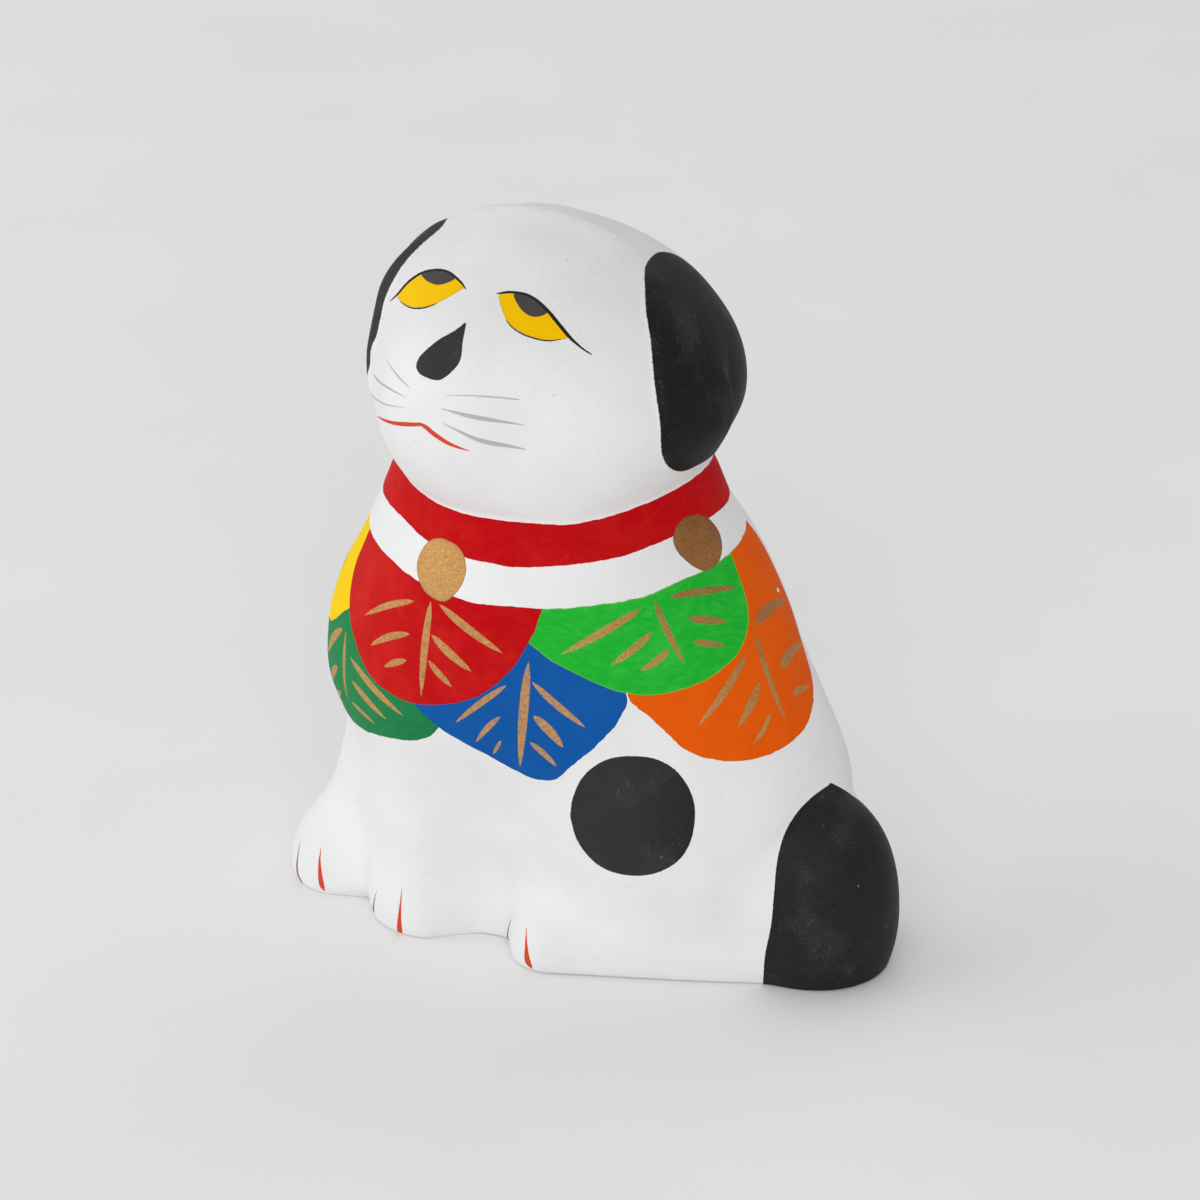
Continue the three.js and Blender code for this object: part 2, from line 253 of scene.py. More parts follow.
def to_trunk(p):
    """Everything but the tail and the head."""
    share = eased(p[..., 2], LOW, HIGH)
    joined = [
        (blended(to_limb(p, *FAR_LEG), to_ellipsoid(p, *FAR_PAW), BLEND_FAR_PAW), BLEND_FAR_LEG),
        (blended(to_limb(p, *NEAR_LEG), to_limb(p, *NEAR_PAW), BLEND_NEAR_PAW), BLEND_NEAR_LEG)]
    joined += [(to_ellipsoid(p, *thigh), BLEND_THIGH) for thigh in THIGHS]
    joined += [(to_limb(p, *foot), BLEND_FOOT) for foot in HIND_FEET]
    trunk = to_body(p)
    for form, widths in joined:
        trunk = blended(trunk, form, by_height(widths, share))
    return trunk


def to_tail(p):
    """Distance from the tail, a leaning dome."""
    return to_dome(p, TAIL_MIDDLE, TAIL_ACROSS, TAIL_SIDES, TAIL_AXES)


def to_dog(p):
    """The trunk, the tail and the head as one form."""
    join = by_height(BLEND_TAIL, curve_through(TAIL_HEIGHTS, p[..., 2]))
    return blended(blended(to_trunk(p), to_tail(p), join), to_head(p), BLEND_NECK)


def dog_points():
    """Rows by columns of points. Up to FAN_HEIGHT a row is level and its rays leave the middle line
    squarely. Above it they leave one point and rise row by row. A ray is searched inwards, then halved."""
    side = np.linspace(EDGE_LEVELS[-1], FAN_HEIGHT, SIDE_ROWS)
    heights = np.concatenate([EDGE_LEVELS[:-1], side, np.full(CROWN_ROWS, FAN_HEIGHT)])
    lifts = np.zeros(len(heights))
    lifts[-CROWN_ROWS:] = np.arange(1, CROWN_ROWS + 1) * (math.pi / 2) / (CROWN_ROWS + 1)
    around = np.arange(COLUMNS) * (2 * math.pi / COLUMNS)
    x, y = (curve_through(MIDDLE_LINE, heights, column) for column in (1, 2))
    starts = np.stack([x, y, heights], -1)[:, None]
    level, up = np.cos(lifts)[:, None], np.sin(lifts)[:, None]
    directions = np.stack(np.broadcast_arrays(level * np.cos(around), level * np.sin(around), up), -1)
    outside = np.full(directions.shape[:2], REACH)
    inside = np.zeros_like(outside)
    found = np.zeros(outside.shape, bool)
    step = REACH / MARCH_STEPS
    for reach in REACH - step * np.arange(1, MARCH_STEPS):
        new = ~found & (to_dog(starts + reach * directions) < 0)
        inside[new] = reach
        outside[new] = reach + step
        found |= new
        if found.all():
            break
    for _ in range(HALVINGS):
        half = (inside + outside) / 2
        within = to_dog(starts + half[..., None] * directions) < 0
        inside = np.where(within, half, inside)
        outside = np.where(within, outside, half)
    points = starts + ((inside + outside) / 2)[..., None] * directions
    points += directions * hand_unevenness(points)[..., None]
    low = np.clip(1 - heights / EDGE_ROUND, 0, 1)
    inset = EDGE_ROUND * (1 - np.sqrt(1 - low ** 2))
    points[..., :2] -= directions[..., :2] * inset[:, None, None]
    return points


def hand_unevenness(p):
    """The slight lumps of pressed clay: three slow sine waves that cross at odd angles."""
    x, y, z = p[..., 0], p[..., 1], p[..., 2]
    waves = np.sin(x / 5.3 + 0.7 * np.sin(z / 9.0)) * np.sin(z / 6.1 + y / 11.0)
    waves = waves + 0.7 * np.sin(y / 4.7 + z / 7.9 + 1.3) + 0.5 * np.sin((x - z) / 3.1 + y / 4.4)
    return LUMP_HEIGHT * waves


def grid_numbers(rows, columns):
    """The number of each point of a grid, and that of the next point round its row."""
    number = np.arange(rows * columns).reshape(rows, columns)
    return number, np.roll(number, -1, axis=1)


def grid_mesh(name, points, bottom, crown):
    """Joins rows of points that close round with quads, and each end row with a fan to one point. Gives back
    the mesh and its quads, which come first."""
    rows, columns = points.shape[:2]
    number, following = grid_numbers(rows, columns)
    quads = np.stack([number[:-1], following[:-1], following[1:], number[1:]], -1).reshape(-1, 4)
    bottom_at, crown_at = rows * columns, rows * columns + 1
    base_fan = np.stack([np.full(columns, bottom_at), following[0], number[0]], -1)
    crown_fan = np.stack([np.full(columns, crown_at), number[-1], following[-1]], -1)
    mesh = bpy.data.meshes.new(name)
    mesh.vertices.add(rows * columns + 2)
    mesh.vertices.foreach_set("co", (np.vstack([points.reshape(-1, 3), bottom, crown]) * MM).ravel())
    corners = np.concatenate([quads.ravel(), base_fan.ravel(), crown_fan.ravel()])
    sizes = np.concatenate([np.full(len(quads), 4), np.full(2 * columns, 3)])
    mesh.loops.add(len(corners))
    mesh.loops.foreach_set("vertex_index", corners)
    mesh.polygons.add(len(sizes))
    mesh.polygons.foreach_set("loop_start", np.concatenate([[0], np.cumsum(sizes)[:-1]]))
    smooth = np.ones(len(sizes), bool)
    smooth[len(quads):len(quads) + columns] = False
    mesh.polygons.foreach_set("use_smooth", smooth)
    mesh.update(calc_edges=True)
    mesh.validate()
    return mesh, quads


def new_object(name, data):
    """An object with this data, in the scene."""
    thing = bpy.data.objects.new(name, data)
    bpy.context.scene.collection.objects.link(thing)
    return thing


# Where things are on the sketch and round the bib

def on_sketch(p):
    """Places of points on the sketch, in its own units from its top left corner, by plain perspective."""
    q = p - EYE
    away = -(q @ EYE_BACK)
    right = (q @ EYE_RIGHT) / away * EYE_DISTANCE
    up = (q @ EYE_UP) / away * EYE_DISTANCE
    return np.stack([right, -up], -1) * SKETCH_UNIT + SKETCH_SIDE / 2


BIB_DEGREE = 0.62    # millimetres to a degree round the bib
BIB_AXIS = -19.0     # the direction that the bib is symmetric about


def round_bib(p, mirrored=False):
    """Angle about Z from -Y towards +X, unrolled to millimetres, and height."""
    angle = np.degrees(np.arctan2(p[..., 0], -p[..., 1]))
    if mirrored:
        angle = (2 * BIB_AXIS - angle + 180) % 360 - 180
    return np.stack([angle * BIB_DEGREE, p[..., 2]], -1)


def run_smoothly(knots, pieces=6):
    """A curve through the knots: Catmull-Rom between them, with the end knots doubled."""
    knots = np.asarray(knots, float)
    padded = np.vstack([2 * knots[0] - knots[1], knots, 2 * knots[-1] - knots[-2]])
    t = (np.arange(pieces) / pieces)[:, None, None]
    a, b, c, d = padded[:-3], padded[1:-2], padded[2:-1], padded[3:]
    bend, twist = 2 * a - 5 * b + 4 * c - d, 3 * b - a - 3 * c + d
    curve = 0.5 * (2 * b + (c - a) * t + bend * t ** 2 + twist * t ** 3)
    return np.vstack([curve.transpose(1, 0, 2).reshape(-1, knots.shape[1]), knots[-1:]])


def outline(*runs):
    """A closed outline of smooth runs. Each goes on to the first knot of the next, with a corner there."""
    following = runs[1:] + runs[:1]
    return np.vstack([run_smoothly(run + after[:1])[:-1] for run, after in zip(runs, following)])


FAR_OFF = -4.0       # the depth of a place that is well outside
CLEAR = 9.0          # a distance that is always enough
LEAST_FACING = 0.02  # a mark on the sketch is painted where the surface faces the eye by this cosine


def depth_inside(places, edge, unit=1.0):
    """Distance to a closed outline in millimetres, above 0 inside it. Places far outside get FAR_OFF."""
    depth = np.full(len(places), FAR_OFF)
    reach = -FAR_OFF * unit
    near = np.flatnonzero(((places > edge.min(0) - reach) & (places < edge.max(0) + reach)).all(1))
    if not len(near):
        return depth
    q = places[near]
    best = np.full(len(near), VAST)
    crossings = np.zeros(len(near), int)
    for a, b in zip(edge, np.roll(edge, -1, axis=0)):
        along = b - a
        t = np.clip((q - a) @ along / max(along @ along, TINY), 0, 1)
        best = np.minimum(best, ((q - a - t[:, None] * along) ** 2).sum(1))
        if a[1] != b[1]:
            level = (a[1] > q[:, 1]) != (b[1] > q[:, 1])
            crossings += level & (q[:, 0] < a[0] + (q[:, 1] - a[1]) / (b[1] - a[1]) * along[0])
    distance = np.sqrt(best) / unit
    depth[near] = np.maximum(np.where(crossings % 2 == 1, distance, -distance), FAR_OFF)
    return depth


# Marks that are read off the sketch, as x and y

NEAR_YELLOW = outline([
    (496.5, 293.5), (505, 291.5), (513, 291), (525, 293), (536.5, 298.5), (548, 308.5), (559, 321.5)], [
    (568.5, 335.5), (567, 338.5), (562, 339.5), (548, 340.5), (531.5, 337), (515.5, 329), (506.5, 320.5),
    (500, 304), (498.5, 294.5)])
NEAR_PUPIL = outline([(512, 291.5), (525, 293), (536.5, 298.5), (548, 308.5)], [
    (550, 311), (544, 315), (535.5, 317), (527, 314.5), (520, 308), (515.5, 300.5)])
FAR_YELLOW = outline([
    (390, 301), (397, 293.5), (406, 282.5), (415.5, 275), (424.5, 270.5), (437.5, 268.5), (448, 270.5),
    (456, 276), (462.5, 282.5)], [
    (466, 288.5), (463.5, 288), (452.5, 295), (438.5, 302.5), (428.5, 306.5), (418.5, 307.5), (409, 306.5),
    (401.5, 302.5), (395, 296)])
FAR_PUPIL = outline([(420, 273), (424.5, 270.5), (437.5, 268.5), (448, 270.5), (456, 276)], [
    (457, 278), (454.5, 279.5), (447, 283), (438.5, 285), (430.5, 283), (424.5, 279)])
NOSE = outline([
    (467.5, 318.5), (462, 325), (452.5, 332), (439.5, 339), (426.5, 349.5), (419, 357.5), (416, 366),
    (418.5, 372.5), (425, 377), (437, 380.5), (445, 377.5), (452.5, 371), (458.5, 364), (461.5, 356),
    (462.5, 344), (464.5, 332.5)])
SPOT = outline([
    (570, 816), (573, 797), (582, 778), (596, 765), (612, 758), (632, 756), (654, 758.5), (673, 768),
    (686, 783), (693.5, 800), (695, 817), (691.5, 839), (681, 858), (664, 870), (644, 875.5), (622, 874.5),
    (603, 868), (588, 856), (576, 838)])
BELLS = [
    outline([
        (442, 538), (429.5, 540.5), (421, 551.5), (417, 563), (418, 576), (422.5, 588), (430.5, 596.5),
        (442.5, 601.5), (452, 597), (461, 586.5), (465.5, 575), (466, 565), (463.5, 555), (456, 545)]),
    outline([
        (697, 514), (685, 517.5), (677, 526), (673, 537), (675, 547), (681, 556), (693.5, 566.5),
        (704.5, 571), (713, 568), (719, 561), (722, 551), (721.5, 540), (717, 528), (708, 518)]),
]

CHIP = outline([
    (776.8, 586), (778.3, 587.5), (779.3, 590.5), (779.3, 593), (777.8, 592), (776.8, 589)])

# Edges of the bib's petals, as degrees round from -Y and height
PETAL_RED = [
    (-60.4, 79.4), (-61.4, 72.7), (-59.4, 68.6), (-56.2, 63.9), (-54.4, 61.5), (-50.7, 58.5), (-46.1, 55.7),
    (-40.5, 53.3), (-33.7, 52.1), (-26.5, 51.5), (-22.7, 51.7), (-15.8, 52.5), (-8.7, 53.9), (-1.1, 56.1),
    (4.9, 59.0), (11.2, 63.3), (16.4, 68.7), (18.8, 71.8), (20.1, 74.8), (21.0, 79.0)]
PETAL_GREEN = [
    (12.0, 79.0), (12.0, 74.9), (12.0, 71.5), (14.0, 69.6), (22.8, 65.5), (31.5, 62.7), (38.1, 60.6),
    (43.5, 59.5), (48.7, 58.9), (55.3, 59.2), (61.5, 60.1), (67.8, 61.7), (73.2, 63.6), (77.5, 65.9),
    (80.8, 68.8), (82.7, 72.0), (84.3, 75.5), (86.2, 78.6), (88.5, 83.0)]
PETAL_BLUE = [
    (-30, 62), (-28, 56), (-24.5, 51.6), (-16.3, 47.7), (-6.7, 45.1), (5.4, 42.3), (14.4, 40.4),
    (19.5, 40.2), (24.5, 41.1), (28.8, 44.1), (34.5, 48.0), (38.9, 51.5), (42.0, 54.8), (43.7, 59.0),
    (38, 66), (18, 72.5), (0, 68)]
PETAL_ORANGE = [
    (80, 83), (106, 83), (109, 79), (109.5, 74.2), (108.6, 70), (107, 65.8), (104.8, 60), (101.5, 54.6),
    (96.5, 50.9), (91, 48.5), (86, 46.8), (80, 45.7), (74, 45.1), (68, 45.3), (62, 46.4), (57, 48.6),
    (53, 51.8), (49, 55.1), (44, 59.0), (46, 66)]
PETAL_DARK_GREEN = [
    (-14, 54), (-16.3, 47.7), (-25.7, 43.6), (-39.6, 41.7), (-52.4, 39.9), (-66, 39.0), (-80, 41.0),
    (-90, 45.5), (-97, 52.5), (-98, 60), (-60, 66), (-30, 60)]
PETAL_YELLOW = [
    (-56, 83), (-54, 72), (-55.5, 64.2), (-59, 62.1), (-62, 60.3), (-66, 58.2), (-72, 56.2), (-84, 55.6),
    (-97, 57.6), (-109, 61.8), (-118, 67.2), (-123, 73), (-125.5, 79), (-126, 83)]

# Height of the collar's lower edge and of the white band's lower edge, by degrees round from -Y
COLLAR_EDGE = np.array([
    (-180, 84.2), (-120, 84.8), (-64, 84.4), (-37, 84.1), (-28, 83.2), (-23, 82.7), (-7, 81.8), (1, 81.6),
    (10, 81.5), (21, 81.9), (32, 82.4), (46, 83.1), (61, 84.3), (80, 84.9), (103, 84.3), (150, 84.0),
    (180, 84.2)])
BAND_EDGE = np.array([
    (-180, 79.2), (-120, 79.0), (-75, 78.2), (-63, 77.8), (-56, 77.5), (-45, 77.1), (-34, 76.4),
    (-27, 75.7), (-9, 74.6), (-2, 74.4), (11, 74.8), (20, 74.9), (32, 75.5), (44, 76.1), (51, 76.4),
    (60, 77.5), (71, 78.1), (86, 78.6), (110, 79.3), (150, 79.4), (180, 79.2)])
COLLAR_TOP, COLLAR_REACH = 91.0, 97.0     # strokes round the bib, and the collar, stay below these heights
UNDERSIDE_BELOW, UNDERSIDE_MIDDLE = 0.02, 3.0   # its edge is this low, and its middle is this far inside


def petal_depth(p, knots, mirrored=False):
    """How far points are inside a petal, which may be mirrored about the bib's axis."""
    edge = outline(knots) * (BIB_DEGREE, 1)
    return depth_inside(round_bib(p, mirrored), edge)


def sketch_depth(p, facing, edge):
    """How far points are inside a mark of the sketch, where they face the eye."""
    depth = depth_inside(on_sketch(p), edge, SKETCH_UNIT)
    return np.where(facing > LEAST_FACING, depth, FAR_OFF)


TAIL_FRONT = outline([
    (830, 784), (812, 797), (796, 814), (784, 835), (777, 862), (774, 893), (771, 925), (765, 955),
    (763, 982)], [(762, 1000), (762, 1060), (1100, 1060)], [(1100, 700), (860, 730)])
# The tail's black as seen along X, in y and z: a tip, then round the side turned away
TAIL_BACK = outline([
    (-2.2, 37), (-0.9, 35.7), (0.2, 34.8), (1.5, 33.6), (3, 31.8), (5.4, 29), (8, 25.2), (10.3, 20),
    (11.8, 12), (12.6, 5)], [(12.8, -3)], [(-60, -3)], [(-60, 80)], [(-2.3, 80)])
TAIL_FROM = 40.0                          # the tail's black is beyond this x
TAIL_SPREAD, TAIL_FOLLOWS = 2.5, 0.7      # how far it spreads onto the trunk, and how closely it follows


def tail_depth(p):
    """The tail's black: inside its outline on the sketch, inside its outline along X, and near the tail."""
    front = depth_inside(on_sketch(p), TAIL_FRONT, SKETCH_UNIT)
    depth = np.minimum(front, depth_inside(p[:, 1:], TAIL_BACK))
    belongs = (to_trunk(p) - to_tail(p)) * TAIL_FOLLOWS + TAIL_SPREAD
    return np.where(p[:, 0] > TAIL_FROM, np.minimum(depth, belongs), FAR_OFF)


def head_share(p):
    """Above 0 where the surface belongs to the head rather than to the body below the crease."""
    return to_trunk(p) - to_head(p)


# The far ear's black stays behind a straight edge: a place on it in y and z, and the way to the black
FAR_EAR_FRONT, FAR_EAR_WAY = (-13.3, 111.1), (0.885, 0.465)


def ear_depth(p):
    """How far points are inside the black of an ear."""
    behind = (p[:, 1:] - FAR_EAR_FRONT) @ np.array(FAR_EAR_WAY)
    return np.minimum(inside_ear(p), np.where(p[:, 0] < 0, behind, CLEAR))


HEAD_OVERLAP = 2.0   # an ear's black may run this far past the crease of the neck


def paint_depths(p, facing):
    """How far each vertex lies inside each painted area, in millimetres."""
    angle = np.degrees(np.arctan2(p[:, 0], -p[:, 1]))
    head = head_share(p)
    collar = np.minimum(p[:, 2] - curve_through(COLLAR_EDGE, angle), -head)
    collar = np.where(p[:, 2] < COLLAR_REACH, np.maximum(collar, FAR_OFF), FAR_OFF)
    below_band = np.clip(curve_through(BAND_EDGE, angle) - p[:, 2], FAR_OFF, -FAR_OFF)
    black = [sketch_depth(p, facing, edge) for edge in (SPOT, NOSE, NEAR_PUPIL, FAR_PUPIL)]
    black += [np.where(head > -HEAD_OVERLAP, ear_depth(p), FAR_OFF), tail_depth(p)]
    black = np.maximum.reduce(black)
    eyes = np.maximum(sketch_depth(p, facing, NEAR_YELLOW), sketch_depth(p, facing, FAR_YELLOW))
    bells = np.maximum.reduce([sketch_depth(p, facing, edge) for edge in BELLS] + [hidden_bell_depth(p)])
    orange = np.maximum(petal_depth(p, PETAL_ORANGE), petal_depth(p, PETAL_ORANGE, mirrored=True))
    orange = np.minimum(orange, -sketch_depth(p, facing, CHIP))
    return {
        "dark_green": petal_depth(p, PETAL_DARK_GREEN), "blue": petal_depth(p, PETAL_BLUE), "orange": orange,
        "yellow": petal_depth(p, PETAL_YELLOW), "red": petal_depth(p, PETAL_RED),
        "green": petal_depth(p, PETAL_GREEN), "below_band": below_band, "collar": collar, "bells": bells,
        "eyes": eyes, "black": black, "underside": -p[:, 2] - UNDERSIDE_BELOW,
    }


HIDDEN_BELL = (-110.0, 81.5, 4.6, 5.4)   # degrees round, height, half width and half height


def hidden_bell_depth(p):
    """An upright ellipse on the side turned away, the twin of the bell near the shown ear."""
    angle, z, wide, high = HIDDEN_BELL
    at = (round_bib(p) - (angle * BIB_DEGREE, z)) / (wide, high)
    return np.maximum((1 - np.hypot(at[:, 0], at[:, 1])) * wide, FAR_OFF)


# Brush strokes: a line of places, each with the stroke's width there. A kind picks the colour.

BLACK_LINE, RED_LINE, GREY_LINE, GOLD_LINE, DUSK_LINE = 1, 2, 3, 4, 5

FACE_STROKES = [
    (BLACK_LINE, [
        (496, 293.8, 1.2), (505, 292.4, 2.4), (513, 292.2, 2.6), (525, 294.2, 2.8), (536, 299.8, 3.0),
        (547, 309.8, 3.4), (557.6, 322.6, 3.8), (569, 336.4, 3.6), (579, 345.8, 2.2), (586, 351, 1.8),
        (592.5, 355, 0.8)]),
    (BLACK_LINE, [
        (505.5, 319.5, 0.8), (513, 328, 1.3), (524, 334.8, 1.5), (538, 339.3, 1.5), (549, 340.8, 1.4),
        (562, 339.3, 0.7)]),
    (BLACK_LINE, [
        (390, 301.4, 1.0), (397.6, 294.2, 2.0), (406.6, 283.6, 2.3), (415.9, 276.2, 2.4),
        (424.7, 271.8, 2.4), (437.5, 269.8, 2.4), (447.7, 271.7, 2.6), (455.3, 276.9, 2.6),
        (461.7, 283.2, 2.2), (466, 289.2, 1.0)]),
    (BLACK_LINE, [
        (400.5, 302, 0.7), (409, 307.2, 1.4), (417.5, 308.5, 1.6), (427.5, 307, 1.4), (439, 302.6, 0.7)]),
    (RED_LINE, [
        (377, 416, 0.6), (384, 420, 2.4), (394.5, 423.2, 3.8), (409.5, 424.4, 4.4), (421, 424.5, 3.4)]),
    (RED_LINE, [
        (418, 423.2, 3.0), (425.5, 426.8, 4.0), (433.5, 433.6, 4.6), (447, 442.6, 3.8), (460, 448, 2.2),
        (470, 451, 0.6)]),
    (GREY_LINE, [
        (444, 396, 0.4), (463.5, 395.5, 1.2), (486.5, 396.5, 1.6), (514, 399, 1.6), (520.5, 400, 0.8)]),
    (GREY_LINE, [
        (441, 408.5, 0.6), (455.5, 412.5, 2.8), (475, 417.2, 4.6), (498, 421, 3.4), (524, 425, 0.8)]),
    (GREY_LINE, [
        (441, 422.5, 0.6), (457.5, 430.5, 2.2), (475, 438.6, 4.0), (492, 443.3, 4.8), (509, 446, 3.6),
        (527, 449.8, 0.8)]),
    (GREY_LINE, [(385.5, 359, 0.5), (394.5, 372, 1.6), (402, 380.5, 1.6), (410.5, 388.5, 0.5)]),
    (GREY_LINE, [(373, 373, 0.5), (378.5, 381, 1.8), (391, 389.5, 2.0), (406, 397.3, 0.5)]),
    (GREY_LINE, [(369.5, 391, 0.5), (376, 399.2, 1.4), (387.5, 405, 1.4), (405, 407.6, 0.4)]),
]
# Claws: on each foot a fine dusky sickle and a full red one
CLAW_STROKES = [
    (DUSK_LINE, [
        (300.6, 840, 0.3), (298.8, 850, 0.9), (297.3, 860, 1.5), (297, 869, 1.8), (298.1, 875, 1.8),
        (300.5, 880, 1.4), (302.4, 883, 0.9), (303.8, 885, 0.3)]),
    (RED_LINE, [
        (320.9, 846, 0.3), (320.4, 853, 1.0), (319.6, 860, 2.0), (319.8, 870, 3.6), (320.2, 876, 4.5),
        (320.9, 881, 5.0), (322.1, 885.5, 5.0), (323.9, 889, 3.8), (325.8, 892, 0.8)]),
    (DUSK_LINE, [
        (376.8, 890.5, 0.3), (375, 897, 0.9), (373.6, 905, 1.4), (373.4, 912, 1.7), (373.8, 918, 1.6),
        (375.1, 923, 1.3), (376.6, 926.5, 0.4)]),
    (RED_LINE, [
        (402.1, 887.5, 0.3), (401.3, 896, 1.1), (400.4, 905, 1.9), (399.7, 914, 3.0), (399.4, 921, 4.1),
        (399.4, 927, 4.9), (399.9, 931, 5.2), (401, 934, 3.6), (402.3, 935.6, 0.8)]),
    (DUSK_LINE, [
        (511.5, 919, 0.3), (508.9, 926, 0.9), (507.6, 933, 1.3), (507.3, 940, 1.6), (507.6, 946, 1.4),
        (508.6, 950, 0.9), (510.3, 954.5, 0.3)]),
    (RED_LINE, [
        (526.3, 925, 0.3), (526.2, 934, 1.2), (526.1, 941, 2.1), (526.3, 948, 3.2), (526.7, 955, 4.7),
        (527.1, 959, 5.6), (528.6, 963, 5.2), (530.5, 966, 3.4), (532.3, 969, 0.6)]),
]
# Veins: start, end, width, and how far the middle bows to the right of the way it runs
VEINS = [
    ((431, 600), (421, 697), 7.5, -1.5), ((415, 601), (364, 615.5), 7, -3),
    ((410, 634), (370, 645.5), 7.5, -3), ((406.5, 660.5), (383.5, 667), 7, -1),
    ((439, 604), (503, 653.5), 8, -2), ((431, 634), (472, 672), 8, -1.5), ((428, 660), (452, 687), 6, -1),
    ((528.5, 661), (520, 768), 9.5, -1), ((507, 685), (455, 723), 6.5, -1),
    ((500.5, 716.5), (476, 742), 6, -1.5), ((501, 740.5), (493, 754.5), 4, 0),
    ((531.5, 681.5), (586, 728), 7, -1.5), ((533, 715.5), (563.5, 748), 9, 1.5),
    ((529.5, 742), (557, 767), 5.7, 1), ((654, 599), (685, 665), 7, -1.5),
    ((642, 608), (560, 655), 8.5, 1.5), ((653, 631.5), (610, 666), 8, 1.5),
    ((670, 648.5), (640, 671), 7.8, 2), ((669, 597.5), (738, 587.5), 8, 1.5),
    ((688, 618.5), (727, 622.5), 8.5, 0.5), ((693, 641.5), (725, 646), 7, 0),
    ((754, 631), (786, 722), 5.7, -1.5), ((747, 653.5), (698, 726), 7.8, 3),
    ((759.5, 682), (738, 727.5), 7.8, 2), ((770.5, 712.5), (752, 745), 4.5, 2.5),
    ((756, 625.5), (787, 599), 12, 4.5), ((783, 670), (803, 643), 10, 4.5),
    ((793, 696.5), (809.5, 686.5), 7, 2.5)]
# On the petals that turn away from the sketch: in degrees round and height, with widths in millimetres
DARK_GREEN_VEINS = [
    ((-56.5, 58.6), (-56, 44.6), 1.1, 0.3), ((-53, 54.5), (-28.5, 48.2), 1.6, -0.3),
    ((-51.5, 50.2), (-35.5, 46.2), 1.5, -0.2), ((-53.5, 45.3), (-41.5, 43.8), 1.1, -0.2),
    ((-59, 58.4), (-73, 49.0), 1.8, 0.5), ((-61.5, 49.9), (-71, 44.0), 1.6, 0.4),
    ((-62, 44.6), (-68, 41.5), 1.2, 0.3)]
# A petal's veins from the top of its middle one, across and down in millimetres, for the hidden petals
PLAIN_VEINS = [
    ((0, 0), (0, -17), 1.5, 0), ((3, -3.4), (13, -9.5), 1.4, 0), ((3.5, -8.2), (9.5, -12.2), 1.4, 0),
    ((3, -12.6), (6.5, -15), 1, 0), ((-3, -3.4), (-13, -9.5), 1.4, 0),
    ((-3.5, -8.2), (-9.5, -12.2), 1.4, 0), ((-3, -12.6), (-6.5, -15), 1, 0)]
PLAIN_VEIN_TOPS = [(-91, 75.0, 0.95), (-116, 63.5, 0.95)]   # degrees round, height, size

LEAF_KNOTS = 9
LEAF_LEAN, LEAF_FULLNESS = 0.85, 0.6    # powers that put the widest place early, and make the ends blunt


def leaf(start, end, width, bow):
    """A stroke that bows by a half sine, and swells as a power of a half sine that is drawn to its start."""
    start, end = np.array(start, float), np.array(end, float)
    t = np.linspace(0, 1, LEAF_KNOTS)[:, None]
    along = end - start
    aside = np.array([along[1], -along[0]]) / max(np.linalg.norm(along), TINY)
    line = start + t * along + np.sin(math.pi * t) * bow * aside
    swell = np.sin(math.pi * t ** LEAF_LEAN) ** LEAF_FULLNESS
    return np.hstack([line, width * swell])


def dense(knots, pieces):
    """A smooth line through the knots, with half widths for the widths."""
    return run_smoothly(knots, pieces) * (1, 1, 0.5)


def stroke_lines():
    """Every stroke: its kind, its chart, and a dense line of places and half widths in the chart's units."""
    lines = [(kind, "sketch", dense(knots, 4)) for kind, knots in FACE_STROKES + CLAW_STROKES]
    lines += [(GOLD_LINE, "sketch", dense(leaf(*vein), 2)) for vein in VEINS]
    unroll = np.array([BIB_DEGREE, 1])
    veins = [(unroll * start, unroll * end, *rest) for start, end, *rest in DARK_GREEN_VEINS]
    for angle, z, size in PLAIN_VEIN_TOPS:
        top = unroll * (angle, z)
        veins += [(top + np.multiply(start, size), top + np.multiply(end, size), *rest)
                  for start, end, *rest in PLAIN_VEINS]
    return lines + [(GOLD_LINE, "bib", dense(leaf(*vein), 2)) for vein in veins]


def across_stroke(places, line):
    """For each place: signed distance across the nearest span, half width there, and both joined as the gap.
    Past either end the half width falls by the distance run past it."""
    best = np.full(len(places), VAST)
    across, half = np.zeros(len(places)), np.zeros(len(places))
    last = len(line) - 2
    for i, (a, b) in enumerate(zip(line[:-1], line[1:])):
        along = b[:2] - a[:2]
        length = max(np.linalg.norm(along), TINY)
        q = places - a[:2]
        run = q @ along / length
        held = np.clip(run, 0, length)
        past = np.where((i == 0) & (run < 0), -run, 0)
        past = past + np.where((i == last) & (run > length), run - length, 0)
        side = (q[:, 0] * along[1] - q[:, 1] * along[0]) / length
        miss = np.hypot(side, run - held)
        nearer = miss < best
        best = np.where(nearer, miss, best)
        aside = np.where(past > 0, side, np.copysign(miss, side))
        across = np.where(nearer, aside, across)
        here = a[2] + (b[2] - a[2]) * held / length - past
        half = np.where(nearer, here, half)
    return across, half, np.abs(across) - half


STROKE_REACH = 2.5                 # faces within this distance of a stroke carry it
NO_STROKE = (0.0, -CLEAR, 0.0)


